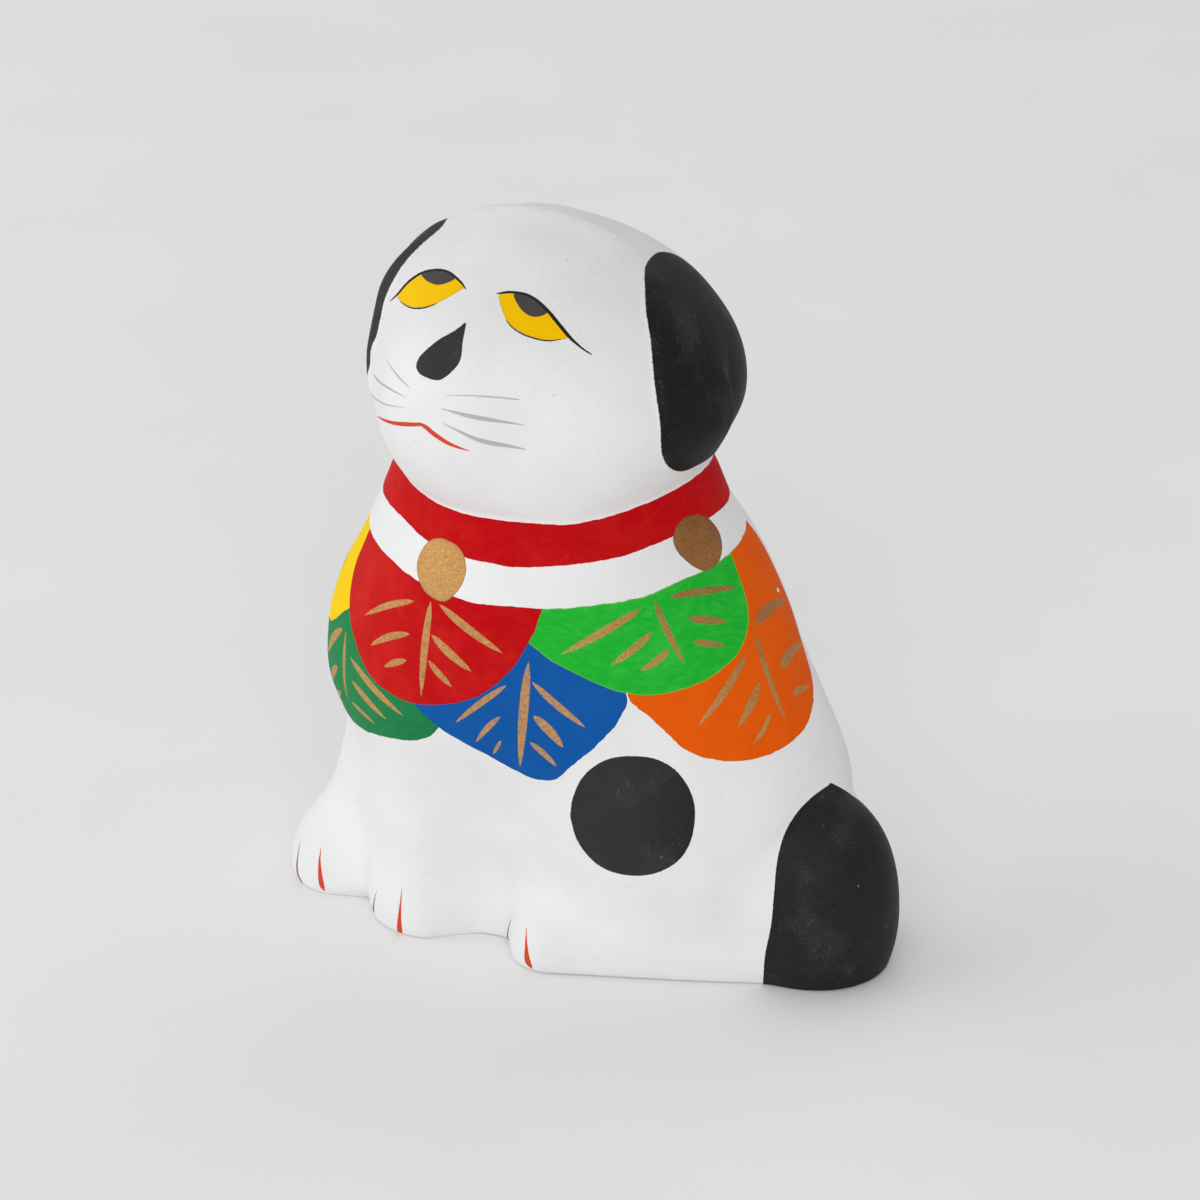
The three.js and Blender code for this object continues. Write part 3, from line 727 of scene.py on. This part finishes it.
def stroke_corners(p, faces, facing):
    """For the corners of each quad, the nearest stroke: across and half width in millimetres, and kind."""
    charts = {"sketch": (on_sketch(p), SKETCH_UNIT), "bib": (round_bib(p), 1.0)}
    seen = facing[faces].min(1) > LEAST_FACING
    low = p[faces[:, 0], 2] < COLLAR_TOP
    nearest = np.full(len(faces), CLEAR)
    corners = np.tile(np.array(NO_STROKE), (len(faces), 4, 1))
    for kind, chart, line in stroke_lines():
        places, unit = charts[chart]
        middles = places[faces].mean(1)
        reach = STROKE_REACH * unit
        box = (middles > line[:, :2].min(0) - reach) & (middles < line[:, :2].max(0) + reach)
        close = np.flatnonzero(box.all(1) & (seen if chart == "sketch" else low))
        if not len(close):
            continue
        gap = across_stroke(middles[close], line)[2] / unit
        better = gap < nearest[close]
        chosen = close[better]
        nearest[chosen] = gap[better]
        across, half, _ = across_stroke(places[faces[chosen]].reshape(-1, 2), line)
        corners[chosen, :, 0] = across.reshape(-1, 4) / unit
        corners[chosen, :, 1] = half.reshape(-1, 4) / unit
        corners[chosen, :, 2] = kind
    return corners


def add_attributes(mesh, points, faces):
    """Writes the painted areas at the vertices, and the strokes at the face corners."""
    p = points.reshape(-1, 3)
    normals = np.zeros(len(mesh.vertices) * 3, np.float32)
    mesh.vertices.foreach_get("normal", normals)
    normals = normals.reshape(-1, 3)[:len(p)]
    to_eye = EYE - p
    facing = (normals * to_eye).sum(1) / np.linalg.norm(to_eye, axis=1)
    for name, depth in paint_depths(p, facing).items():
        layer = mesh.attributes.new(name, "FLOAT", "POINT")
        full = np.full(len(mesh.vertices), FAR_OFF, np.float32)
        full[:len(p)] = depth
        if name == "underside":
            full[len(p)] = UNDERSIDE_MIDDLE
        layer.data.foreach_set("value", full)
    corners = np.tile(np.array(NO_STROKE, np.float32), (len(mesh.loops), 1))
    corners[:len(faces) * 4] = stroke_corners(p, faces, facing).reshape(-1, 3)
    layer = mesh.attributes.new("stroke", "FLOAT_VECTOR", "CORNER")
    layer.data.foreach_set("vector", corners.ravel())


# Materials

FLOAT, COLOUR, VECTOR = "NodeSocketFloat", "NodeSocketColor", "NodeSocketVector"


def colour(red, green, blue):
    """An opaque colour in linear light."""
    return (red, green, blue, 1.0)


WHITE = colour(0.798, 0.798, 0.797)
# tint for grime, and for painted shade on the crown
GRIME_AND_SHADE_TINT = colour(0.915, 0.915, 0.912)
SPECK = colour(0.22, 0.215, 0.20)
RED = colour(0.475, 0.0025, 0.0055)
# each paler colour below is thin paint in streaks and patches, and also painted light towards -X
RED_THIN_AND_LIT = colour(0.62, 0.021, 0.016)
GREEN = colour(0.013, 0.42, 0.030)
GREEN_THIN_AND_LIT = colour(0.050, 0.57, 0.065)
# painted highlight on the green's raised edge
GREEN_RIDGE_HIGHLIGHT = colour(9.0, 1.1, 1.2)
DARK_GREEN = colour(0.010, 0.185, 0.055)
DARK_GREEN_THIN_AND_LIT = colour(0.030, 0.25, 0.085)
BLUE = colour(0.006, 0.090, 0.35)
BLUE_THIN_AND_LIT = colour(0.012, 0.12, 0.41)
ORANGE = colour(0.78, 0.108, 0.003)
ORANGE_THIN_AND_LIT = colour(0.70, 0.078, 0.003)
YELLOW = colour(0.92, 0.59, 0.001)
YELLOW_THIN_AND_LIT = colour(0.94, 0.64, 0.006)
EYE_YELLOW = colour(0.87, 0.50, 0.001)
BLACK = colour(0.0098, 0.0092, 0.0088)
# painted sheen: the lighter black that the black turns to towards -X
BLACK_SHEEN = colour(0.034, 0.0325, 0.0318)
BLACK_STREAK = colour(0.055, 0.053, 0.050)
BLACK_CLOUD = colour(0.052, 0.052, 0.051)
# painted sheen: a tint that lightens the black round the back, where it is seen edge on
BLACK_RIM_SHEEN_TINT = colour(1.6, 1.6, 1.6)
PUPIL_TINT = colour(1.7, 1.7, 1.6)
DUST = colour(0.20, 0.20, 0.20)
LINE_BLACK = colour(0.020, 0.019, 0.019)
LINE_RED = colour(0.64, 0.064, 0.026)
LINE_GREY = colour(0.45, 0.45, 0.45)
LINE_DUSK = colour(0.33, 0.17, 0.16)
GOLD = colour(0.585, 0.328, 0.118)
# painted shade of the gold, on the side turned away from the lamps
GOLD_SHADED = colour(0.285, 0.122, 0.044)
OLIVE_TINT = colour(0.66, 0.56, 0.46)
FLECK_TINT = colour(1.2, 1.28, 1.4)
GOLD_DOT = colour(0.085, 0.050, 0.016)
CLAY = colour(0.42, 0.26, 0.17)
CLAY_LIGHT = colour(0.5, 0.33, 0.23)
PAPER = colour(0.835, 0.835, 0.835)
PAPER_LIGHT = colour(0.85, 0.85, 0.85)


class Nodes:
    """A node tree with short ways to add a node and to join its sockets."""

    def __init__(self, tree):
        self.tree = tree

    def put(self, socket, value):
        """Links the socket to another, or gives it a value."""
        if isinstance(value, bpy.types.NodeSocket):
            self.tree.links.new(value, socket)
        else:
            socket.default_value = value

    def add(self, kind, *first, settings=(), **named):
        """A node with its settings, and with values put into its first inputs and its named ones."""
        node = self.tree.nodes.new("ShaderNode" + kind)
        for name, value in dict(settings).items():
            setattr(node, name, value)
        for socket, value in zip(node.inputs, first):
            self.put(socket, value)
        for name, value in named.items():
            self.put(node.inputs[name.replace("_", " ")], value)
        return node

    def math(self, operation, *values, clamp=False):
        settings = {"operation": operation, "use_clamp": clamp}
        return self.add("Math", *values, settings=settings).outputs[0]

    def one_by_one(self, operation, values):
        return functools.reduce(lambda a, b: self.math(operation, a, b), values)

    def times(self, *values):
        return self.one_by_one("MULTIPLY", values)

    def total(self, *values):
        return self.one_by_one("ADD", values)

    def most(self, *values):
        return self.one_by_one("MAXIMUM", values)

    def less(self, a, b):
        return self.math("SUBTRACT", a, b)

    def vector(self, operation, a, b):
        return self.add("VectorMath", a, b, settings={"operation": operation}).outputs[0]

    def scaled(self, place, *factors):
        return self.vector("MULTIPLY", place, factors)

    def millimetres(self):
        """The place on the object."""
        return self.scaled(self.add("TexCoord").outputs["Object"], 1 / MM, 1 / MM, 1 / MM)

    def axes(self, place):
        return self.add("SeparateXYZ", Vector=place).outputs

    def mix(self, share, a, b, blend="MIX"):
        """The first colour, with a share of the second."""
        node = self.add("Mix", share, settings={"data_type": "RGBA", "blend_type": blend})
        for socket, value in zip(node.inputs[6:8], (a, b)):
            self.put(socket, value)
        return node.outputs[2]

    def tinted(self, paint, tint):
        return self.mix(1.0, paint, tint, "MULTIPLY")

    def mixed_value(self, share, a, b):
        return self.add("Mix", settings={"data_type": "FLOAT"}, Factor=share, A=a, B=b).outputs[0]

    def noise(self, at, size, detail=2.0, rough=0.5):
        """Noise whose grain is size millimetres, on places in millimetres."""
        return self.add("TexNoise", Vector=at, Scale=1 / size, Detail=detail, Roughness=rough).outputs["Fac"]

    def ramp(self, value, low, high, start=0.0, end=1.0, kind="SMOOTHSTEP"):
        """Runs from start to end, softly at both, as the value runs from low to high."""
        settings = {"interpolation_type": kind}
        return self.add("MapRange", value, low, high, start, end, settings=settings).outputs[0]

    def slope(self, value, low, high, start=0.0, end=1.0):
        """Runs evenly from start to end as the value runs from low to high."""
        return self.ramp(value, low, high, start, end, "LINEAR")

    def attribute(self, name, output="Fac"):
        settings = {"attribute_name": name, "attribute_type": "GEOMETRY"}
        return self.add("Attribute", settings=settings).outputs[output]

    def group(self, tree, **inputs):
        return self.add("Group", settings={"node_tree": tree}, **inputs).outputs

    def give(self, **results):
        """Makes the outputs of a group, of which Color is a colour and the others are numbers."""
        for name in results:
            kind = COLOUR if name == "Color" else FLOAT
            self.tree.interface.new_socket(name=name, in_out="OUTPUT", socket_type=kind)
        out = self.tree.nodes.new("NodeGroupOutput")
        for name, value in results.items():
            self.put(out.inputs[name], value)
        return self.tree


def new_group(name, **inputs):
    """An empty group and its inputs, each given by its kind of socket or by its first value."""
    tree = bpy.data.node_groups.new(name, "ShaderNodeTree")
    for title, value in inputs.items():
        kind = value if isinstance(value, str) else FLOAT if isinstance(value, float) else COLOUR
        socket = tree.interface.new_socket(name=title.replace("_", " "), in_out="INPUT", socket_type=kind)
        if kind is not value:
            socket.default_value = value
    return Nodes(tree), tree.nodes.new("NodeGroupInput").outputs


EDGE_SOFTNESS, DOT_SOFTNESS = 0.05, 0.05   # in millimetres, to either side of the edge


def painted_edge_group():
    """Lays one paint over another: a crisp, slightly ragged edge, and a thin rim along it in the rim colour,
    as painted shade by default.
    """
    # the grey rim given by default is painted shade on the paint's raised edge
    n, given = new_group("painted edge", Under=COLOUR, Paint=COLOUR, Inside=0.0, Waver=0.0, Pooling=0.12,
                         Rim=colour(0.35, 0.35, 0.35), Rim_Width=0.35)
    inside = n.total(given["Inside"], given["Waver"])
    mask = n.ramp(inside, -EDGE_SOFTNESS, EDGE_SOFTNESS)
    near_edge = n.times(n.ramp(inside, given["Rim Width"], 0.0), given["Pooling"])
    paint = n.mix(near_edge, given["Paint"], n.tinted(given["Paint"], given["Rim"]))
    return n.give(Color=n.mix(mask, given["Under"], paint), Mask=mask)


def brushed_colour_group():
    """A paint that is thin in streaks along the brush and in patches, and paler towards -X as painted light.
    """
    n, given = new_group("brushed colour", Color=COLOUR, Thin=COLOUR, Place=VECTOR, Streaks=0.2, Patches=0.1)
    place = given["Place"]
    bend = n.add("CombineXYZ", Z=n.times(n.noise(place, 14.0, detail=1.0), 14.0)).outputs[0]
    along_brush = n.vector("ADD", n.scaled(place, 0.3, 0.3, 1.0), bend)
    bands = n.noise(along_brush, 0.8, detail=4.0, rough=0.65)
    streak = n.times(n.ramp(bands, 0.42, 0.72), given["Streaks"])
    patch = n.times(n.ramp(n.noise(place, 7.0, detail=3.0), 0.4, 0.7), given["Patches"])
    # painted light: the paint turns paler towards -X, the side that the lamps light
    painted_light_share = n.ramp(n.axes(place)["X"], 0.0, -42.0, 0.0, 0.6)
    share = n.math("ADD", n.total(streak, patch), painted_light_share, clamp=True)
    return n.give(Color=n.mix(share, given["Color"], given["Thin"]))


def dots(n, place, spacing, least, largest, share):
    """Mask of round dots on scattered points: a share of the points get one, its radius up to largest."""
    cells = n.add("TexVoronoi", settings={"feature": "F1"}, Vector=place, Scale=1 / spacing, Randomness=1.0)
    chance = n.add("SeparateColor", Color=cells.outputs["Color"]).outputs["Red"]
    bare = n.less(1.0, share)
    radius = n.slope(chance, bare, 1.0, least / spacing, largest / spacing)
    soft = DOT_SOFTNESS / spacing
    disc = n.ramp(n.less(radius, cells.outputs["Distance"]), -soft, soft)
    return n.times(disc, n.math("GREATER_THAN", chance, bare))


def gold_powder_group():
    """Bronze powder in lacquer: a tan ground with painted shade up and round to +X, olive grains, bright
    flecks.
    """
    n, given = new_group("gold powder", Place=VECTOR)
    place = given["Place"]
    at = n.axes(place)
    wander = n.times(n.noise(place, 3.0, detail=3.0), 12.0)
    # painted shade: the gold browns where the surface lies up and towards +X, away from the lamps
    turned = n.total(n.times(at["X"], 0.6), n.times(at["Z"], 0.9), wander)
    ground = n.mix(n.slope(turned, 75.0, 103.0), GOLD, GOLD_SHADED)
    grain = n.noise(place, 0.38, detail=3.0, rough=0.6)
    mottled = n.mix(n.ramp(grain, 0.42, 0.66, 0.0, 0.6), ground, n.tinted(ground, OLIVE_TINT))
    flecked = n.mix(n.ramp(grain, 0.42, 0.3, 0.0, 0.7), mottled, n.tinted(ground, FLECK_TINT))
    dark_dot = n.most(dots(n, place, spacing=0.55, least=0.05, largest=0.14, share=0.7),
                      dots(n, place, spacing=1.5, least=0.12, largest=0.22, share=0.35))
    return n.give(
        Color=n.mix(n.times(dark_dot, 0.5), flecked, GOLD_DOT),
        Roughness=n.slope(grain, 0.35, 0.65, 0.45, 0.6),
        Metallic=n.slope(dark_dot, 0.0, 1.0, 0.35, 0.1),
        Height=n.times(grain, 0.05))


def chalk_ground_group():
    """The white chalk ground: faint grime, a crown greyed as painted shade, specks and pits that crowd on
    it, and a fine dry tooth.
    """
    n, given = new_group("chalk ground", Color=COLOUR, Place=VECTOR)
    place = given["Place"]
    crown = n.ramp(n.axes(place)["Z"], 104.0, 134.0)
    crowd = n.total(n.ramp(n.noise(place, 9.0), 0.45, 0.7, 0.02, 0.22), n.times(crown, 0.5))
    dust = dots(n, place, spacing=0.6, least=0.05, largest=0.12, share=n.times(crowd, 1.3))
    pits = dots(n, place, spacing=2.4, least=0.1, largest=0.2, share=n.times(crowd, 0.6))
    grit = n.ramp(n.noise(place, 0.45, rough=0.6), 0.62, 0.72)
    grit = n.times(grit, n.ramp(n.noise(place, 6.0), 0.45, 0.65), n.ramp(crown, 0.0, 1.0, 0.08, 0.4))
    off_line = n.math("ABSOLUTE", n.less(n.noise(n.scaled(place, 0.5, 0.5, 2.6), 2.2, detail=1.0), 0.5))
    scratch = n.math("SUBTRACT", 1.0, n.times(off_line, 160.0), clamp=True)
    scratch = n.times(scratch, n.ramp(n.noise(place, 4.0, detail=1.0), 0.66, 0.74, 0.0, 0.3))
    marks = n.most(n.times(dust, 0.35), n.times(pits, 0.45), grit, scratch)
    cloud = n.ramp(n.noise(place, 11.0, detail=3.0), 0.35, 0.7)
    # grime in clouds, and painted shade that greys the crown, where less light falls
    grime_and_shade = n.total(n.times(cloud, 0.4), n.times(crown, 0.6))
    grimed_and_shaded = n.mix(grime_and_shade, given["Color"], n.tinted(given["Color"], GRIME_AND_SHADE_TINT))
    tooth = n.noise(place, 0.5, detail=3.0, rough=0.6)
    height = n.less(n.times(tooth, 0.03), n.times(marks, 0.08))
    return n.give(Color=n.mix(marks, grimed_and_shaded, SPECK), Height=height)


def scuffed_black_group():
    """Brushed black: painted sheen to -X and at the back, faint fine streaks, a pale dust of dots and scuffs
    in patches.
    """
    n, given = new_group("scuffed black", Color=COLOUR, Place=VECTOR)
    place = given["Place"]
    at = n.axes(place)
    # painted sheen: the black turns lighter towards -X, the side that faces the lamps
    on_face = n.ramp(at["X"], 14.0, 8.0)
    on_body = n.ramp(at["X"], 42.0, 24.0, 0.3, 0.85)
    sheen_share = n.total(on_body, n.times(n.ramp(at["Z"], 60.0, 85.0), n.less(on_face, on_body)))
    paint = n.mix(sheen_share, given["Color"], BLACK_SHEEN)
    # painted sheen: a lighter black round the back, where the surface is seen edge on
    paint = n.mix(n.ramp(at["Y"], 10.0, 24.0), paint, n.tinted(paint, BLACK_RIM_SHEEN_TINT))
    streaks = n.noise(n.scaled(place, 0.5, 0.5, 1.0), 0.8, detail=3.0, rough=0.65)
    paint = n.mix(n.ramp(streaks, 0.35, 0.75, 0.0, 0.14), paint, BLACK_STREAK)
    cloud = n.noise(place, 9.0)
    patch = n.ramp(cloud, 0.5, 0.68)
    paint = n.mix(n.times(patch, 0.25), paint, BLACK_CLOUD)
    scuff = n.noise(n.scaled(place, 0.8, 0.8, 0.35), 0.6, detail=3.0, rough=0.7)
    scuff = n.times(n.ramp(scuff, 0.6, 0.75), patch, 0.35)
    dusty = n.ramp(cloud, 0.46, 0.66, 0.04, 0.85)
    dust = dots(n, place, spacing=0.5, least=0.04, largest=0.11, share=dusty)
    lint = dots(n, place, spacing=3.6, least=0.12, largest=0.22, share=0.25)
    worn = n.most(scuff, n.times(dust, 0.35), n.times(lint, 0.7))
    return n.give(Color=n.mix(worn, paint, DUST), Roughness=n.slope(streaks, 0.3, 0.7, 0.48, 0.6))


def new_material(name):
    """A material and its nodes."""
    material = bpy.data.materials.new(name)
    material.use_nodes = True
    return material, Nodes(material.node_tree)


# name, full colour, colour for thin paint and for painted light, strength of streaks and of patches, and
# what is special about the rim
PETALS = (
    ("dark_green", DARK_GREEN, DARK_GREEN_THIN_AND_LIT, 0.25, 0.2, {}),
    ("blue", BLUE, BLUE_THIN_AND_LIT, 0.2, 0.25, {}),
    ("orange", ORANGE, ORANGE_THIN_AND_LIT, 0.3, 0.25, {}),
    ("yellow", YELLOW, YELLOW_THIN_AND_LIT, 0.2, 0.2, {}),
    # the green's rim is a painted highlight on its raised edge
    ("green", GREEN, GREEN_THIN_AND_LIT, 0.4, 0.3, {"Rim": GREEN_RIDGE_HIGHLIGHT, "Rim_Width": 0.3, "Pooling": 0.8}),
    ("red", RED, RED_THIN_AND_LIT, 0.25, 0.35, {}))
LINE_COLOURS = ((RED_LINE, LINE_RED), (GREY_LINE, LINE_GREY), (DUSK_LINE, LINE_DUSK))
LINE_LOW, LINE_HIGH = -0.04, 0.05          # a stroke's edge fades between these margins
GROUND_ROUGHNESS, PAINT_ROUGHNESS = 0.78, 0.6
GROUND_SHINE, PAINT_SHINE, BLACK_EXTRA_SHINE = 0.12, 0.03, 0.06
PAINT_THICKNESS = 0.05


def paint_material():
    """All paints of the figure on its chalk ground, laid over each other in the order they were brushed."""
    material, n = new_material("painted_clay")
    n.tree.nodes.clear()
    place = n.millimetres()
    edge, brushed = painted_edge_group(), brushed_colour_group()
    ground = n.group(chalk_ground_group(), Color=WHITE, Place=place)
    black = n.group(scuffed_black_group(), Color=BLACK, Place=place)
    gold = n.group(gold_powder_group(), Place=place)
    masks = []

    def wavering(size, width):
        """Noise about 0."""
        return n.times(n.less(n.noise(place, size), 0.5), width)

    def brush(full, thin_and_lit, streaks, patches):
        """A paint with its brush streaks."""
        values = {"Color": full, "Thin": thin_and_lit, "Streaks": streaks, "Patches": patches}
        return n.group(brushed, Place=place, **values)["Color"]

    def lay(under, paint, inside, waver, **rim):
        """Lays a paint over the coat, and keeps its mask."""
        result = n.group(edge, Under=under, Paint=paint, Inside=inside, Waver=waver, **rim)
        masks.append(result["Mask"])
        return result["Color"]

    fine = wavering(size=0.45, width=0.16)
    waver = n.total(wavering(size=2.6, width=0.5), fine)
    coat, below_band = ground["Color"], n.attribute("below_band")
    for name, full, thin_and_lit, streaks, patches, rim in PETALS:
        inside = n.math("MINIMUM", n.attribute(name), below_band)
        coat = lay(coat, brush(full, thin_and_lit, streaks, patches), inside, waver, **rim)
    coat = lay(coat, brush(RED, RED_THIN_AND_LIT, 0.25, 0.2), n.attribute("collar"), waver)
    coat = lay(coat, brush(EYE_YELLOW, YELLOW_THIN_AND_LIT, 0.15, 0.1), n.attribute("eyes"), fine, Pooling=0.35)
    in_eyes = n.mix(masks[-1], black["Color"], n.tinted(black["Color"], PUPIL_TINT))
    coat = lay(coat, in_eyes, n.attribute("black"), fine, Pooling=0.0)
    black_mask = masks[-1]
    coat = lay(coat, gold["Color"], n.attribute("bells"), fine, Pooling=0.3)

    stroke = n.axes(n.attribute("stroke", "Vector"))
    margin = n.less(stroke["Y"], n.math("ABSOLUTE", stroke["X"]))
    line = n.ramp(n.total(margin, n.times(fine, 0.7)), LINE_LOW, LINE_HIGH)
    line_paint = LINE_BLACK
    for kind, paint in LINE_COLOURS + ((GOLD_LINE, gold["Color"]),):
        is_kind = n.math("COMPARE", stroke["Z"], float(kind), 0.5)
        line_paint = n.mix(is_kind, line_paint, paint)
    covering = n.ramp(n.noise(place, 0.9, detail=3.0), 0.36, 0.56, 0.72, 1.0)
    thinned = n.less(1.0, n.times(is_kind, n.less(1.0, covering)))
    coat = n.mix(n.times(line, thinned), coat, line_paint)
    gold_mask = n.most(masks[-1], n.times(line, is_kind))

    clay = n.mix(n.ramp(n.noise(place, 5.0, detail=5.0), 0.4, 0.7), CLAY, CLAY_LIGHT)
    coat = n.mix(n.ramp(n.attribute("underside"), 0.0, 0.4), coat, clay)
    painted = n.most(*masks, gold_mask)
    rough = n.slope(painted, 0.0, 1.0, GROUND_ROUGHNESS, PAINT_ROUGHNESS)
    rough = n.mixed_value(black_mask, rough, black["Roughness"])
    rough = n.mixed_value(gold_mask, rough, gold["Roughness"])
    height = n.total(n.times(painted, PAINT_THICKNESS), ground["Height"], n.times(gold_mask, gold["Height"]))
    bump = n.add("Bump", Strength=0.6, Distance=MM, Height=height)
    shine = n.slope(painted, 0.0, 1.0, GROUND_SHINE, PAINT_SHINE)
    shine = n.total(shine, n.times(black_mask, BLACK_EXTRA_SHINE))
    shader = n.add("BsdfPrincipled", Base_Color=coat, Roughness=rough, Specular_IOR_Level=shine,
                   Metallic=n.times(gold_mask, gold["Metallic"]), Normal=bump.outputs["Normal"])
    n.add("OutputMaterial", Surface=shader.outputs["BSDF"])
    return material


CROWN_RISE = 0.01    # the topmost point stands this far above the last row


def make_dog():
    """The figure: its surface, the attributes that carry its paint, and the material that reads them."""
    points = dog_points()
    bottom = (MIDDLE_LINE[0, 1], MIDDLE_LINE[0, 2], 0.0)
    crown = points[-1].mean(0) + (0.0, 0.0, CROWN_RISE)
    mesh, quads = grid_mesh("painted_dog", points, bottom, crown)
    add_attributes(mesh, points, quads)
    dog = new_object("painted_dog", mesh)
    mesh.materials.append(paint_material())
    return dog


dog = make_dog()
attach(dog, "root")
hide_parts("dog_figure")

# The studio

# the floor's radius in metres, and how finely it is divided
FLOOR_RADIUS, FLOOR_RINGS, FLOOR_SPOKES = 6.0, 24, 96
AIR_STRENGTH = 0.508
# name, turn from -Y towards +X and lift in degrees, side in metres, and power in watts
LAMPS = (
    ("window_light", -60, 12, 1.3, 8.4), ("side_light", -95, 30, 1.3, 3.4),
    ("front_light", 20, 25, 1.2, 10.4), ("back_light", 180, 50, 1.5, 4.2))
LAMP_DISTANCE = 1.6


def make_floor():
    """A round pale floor. The radii of its rings grow as squares, so that it is fine near the figure."""
    radius = FLOOR_RADIUS * (np.arange(1, FLOOR_RINGS + 1) / FLOOR_RINGS) ** 2
    around = np.arange(FLOOR_SPOKES) * (2 * math.pi / FLOOR_SPOKES)
    number, following = grid_numbers(FLOOR_RINGS, FLOOR_SPOKES)
    points = np.zeros((number.size + 1, 3))
    points[:-1, 0] = np.outer(radius, np.cos(around)).ravel()
    points[:-1, 1] = np.outer(radius, np.sin(around)).ravel()
    quads = np.stack([number[:-1], number[1:], following[1:], following[:-1]], -1).reshape(-1, 4)
    fan = [(number.size, int(a), int(b)) for a, b in zip(number[0], following[0])]
    mesh = bpy.data.meshes.new("studio_floor")
    mesh.from_pydata(points.tolist(), [], quads.tolist() + fan)
    mesh.update()
    material, n = new_material("pale_paper")
    cloud = n.ramp(n.noise(n.millimetres(), 60.0, detail=3.0), 0.3, 0.7)
    shader = n.tree.nodes["Principled BSDF"]
    n.put(shader.inputs["Base Color"], n.mix(cloud, PAPER, PAPER_LIGHT))
    n.put(shader.inputs["Roughness"], 0.9)
    n.put(shader.inputs["Specular IOR Level"], 0.2)
    mesh.materials.append(material)
    return new_object("studio_floor", mesh)


floor = make_floor()


def soft_light(name, turn, lift, side, power):
    """A square lamp that faces the figure."""
    way = Vector(way_out(math.radians(turn), math.radians(lift)))
    data = bpy.data.lights.new(name, "AREA")
    data.shape, data.size, data.energy = "SQUARE", side, power
    lamp = new_object(name, data)
    lamp.location = Vector(EYE_AIM * MM) + way * LAMP_DISTANCE
    lamp.rotation_euler = way.to_track_quat("Z", "Y").to_euler()


for lamp_values in LAMPS:
    soft_light(*lamp_values)

world = bpy.data.worlds.new("studio_air")
world.use_nodes = True
world.node_tree.nodes["Background"].inputs["Color"].default_value = colour(1.0, 1.0, 1.0)
world.node_tree.nodes["Background"].inputs["Strength"].default_value = AIR_STRENGTH
scene = bpy.context.scene
scene.world = world
scene.view_settings.view_transform = "Standard"

camera_data = bpy.data.cameras.new("camera")
camera_data.lens, camera_data.sensor_width, camera_data.sensor_fit = LENS, SENSOR, "HORIZONTAL"
camera_data.clip_start, camera_data.clip_end = 0.05, 50.0
camera = bpy.data.objects.new("camera", camera_data)
axes = np.stack([EYE_RIGHT, EYE_UP, EYE_BACK], 1)
camera.matrix_world = Matrix.Translation(Vector(EYE * MM)) @ Matrix(axes.tolist()).to_4x4()
scene.collection.objects.link(camera)
scene.camera = camera
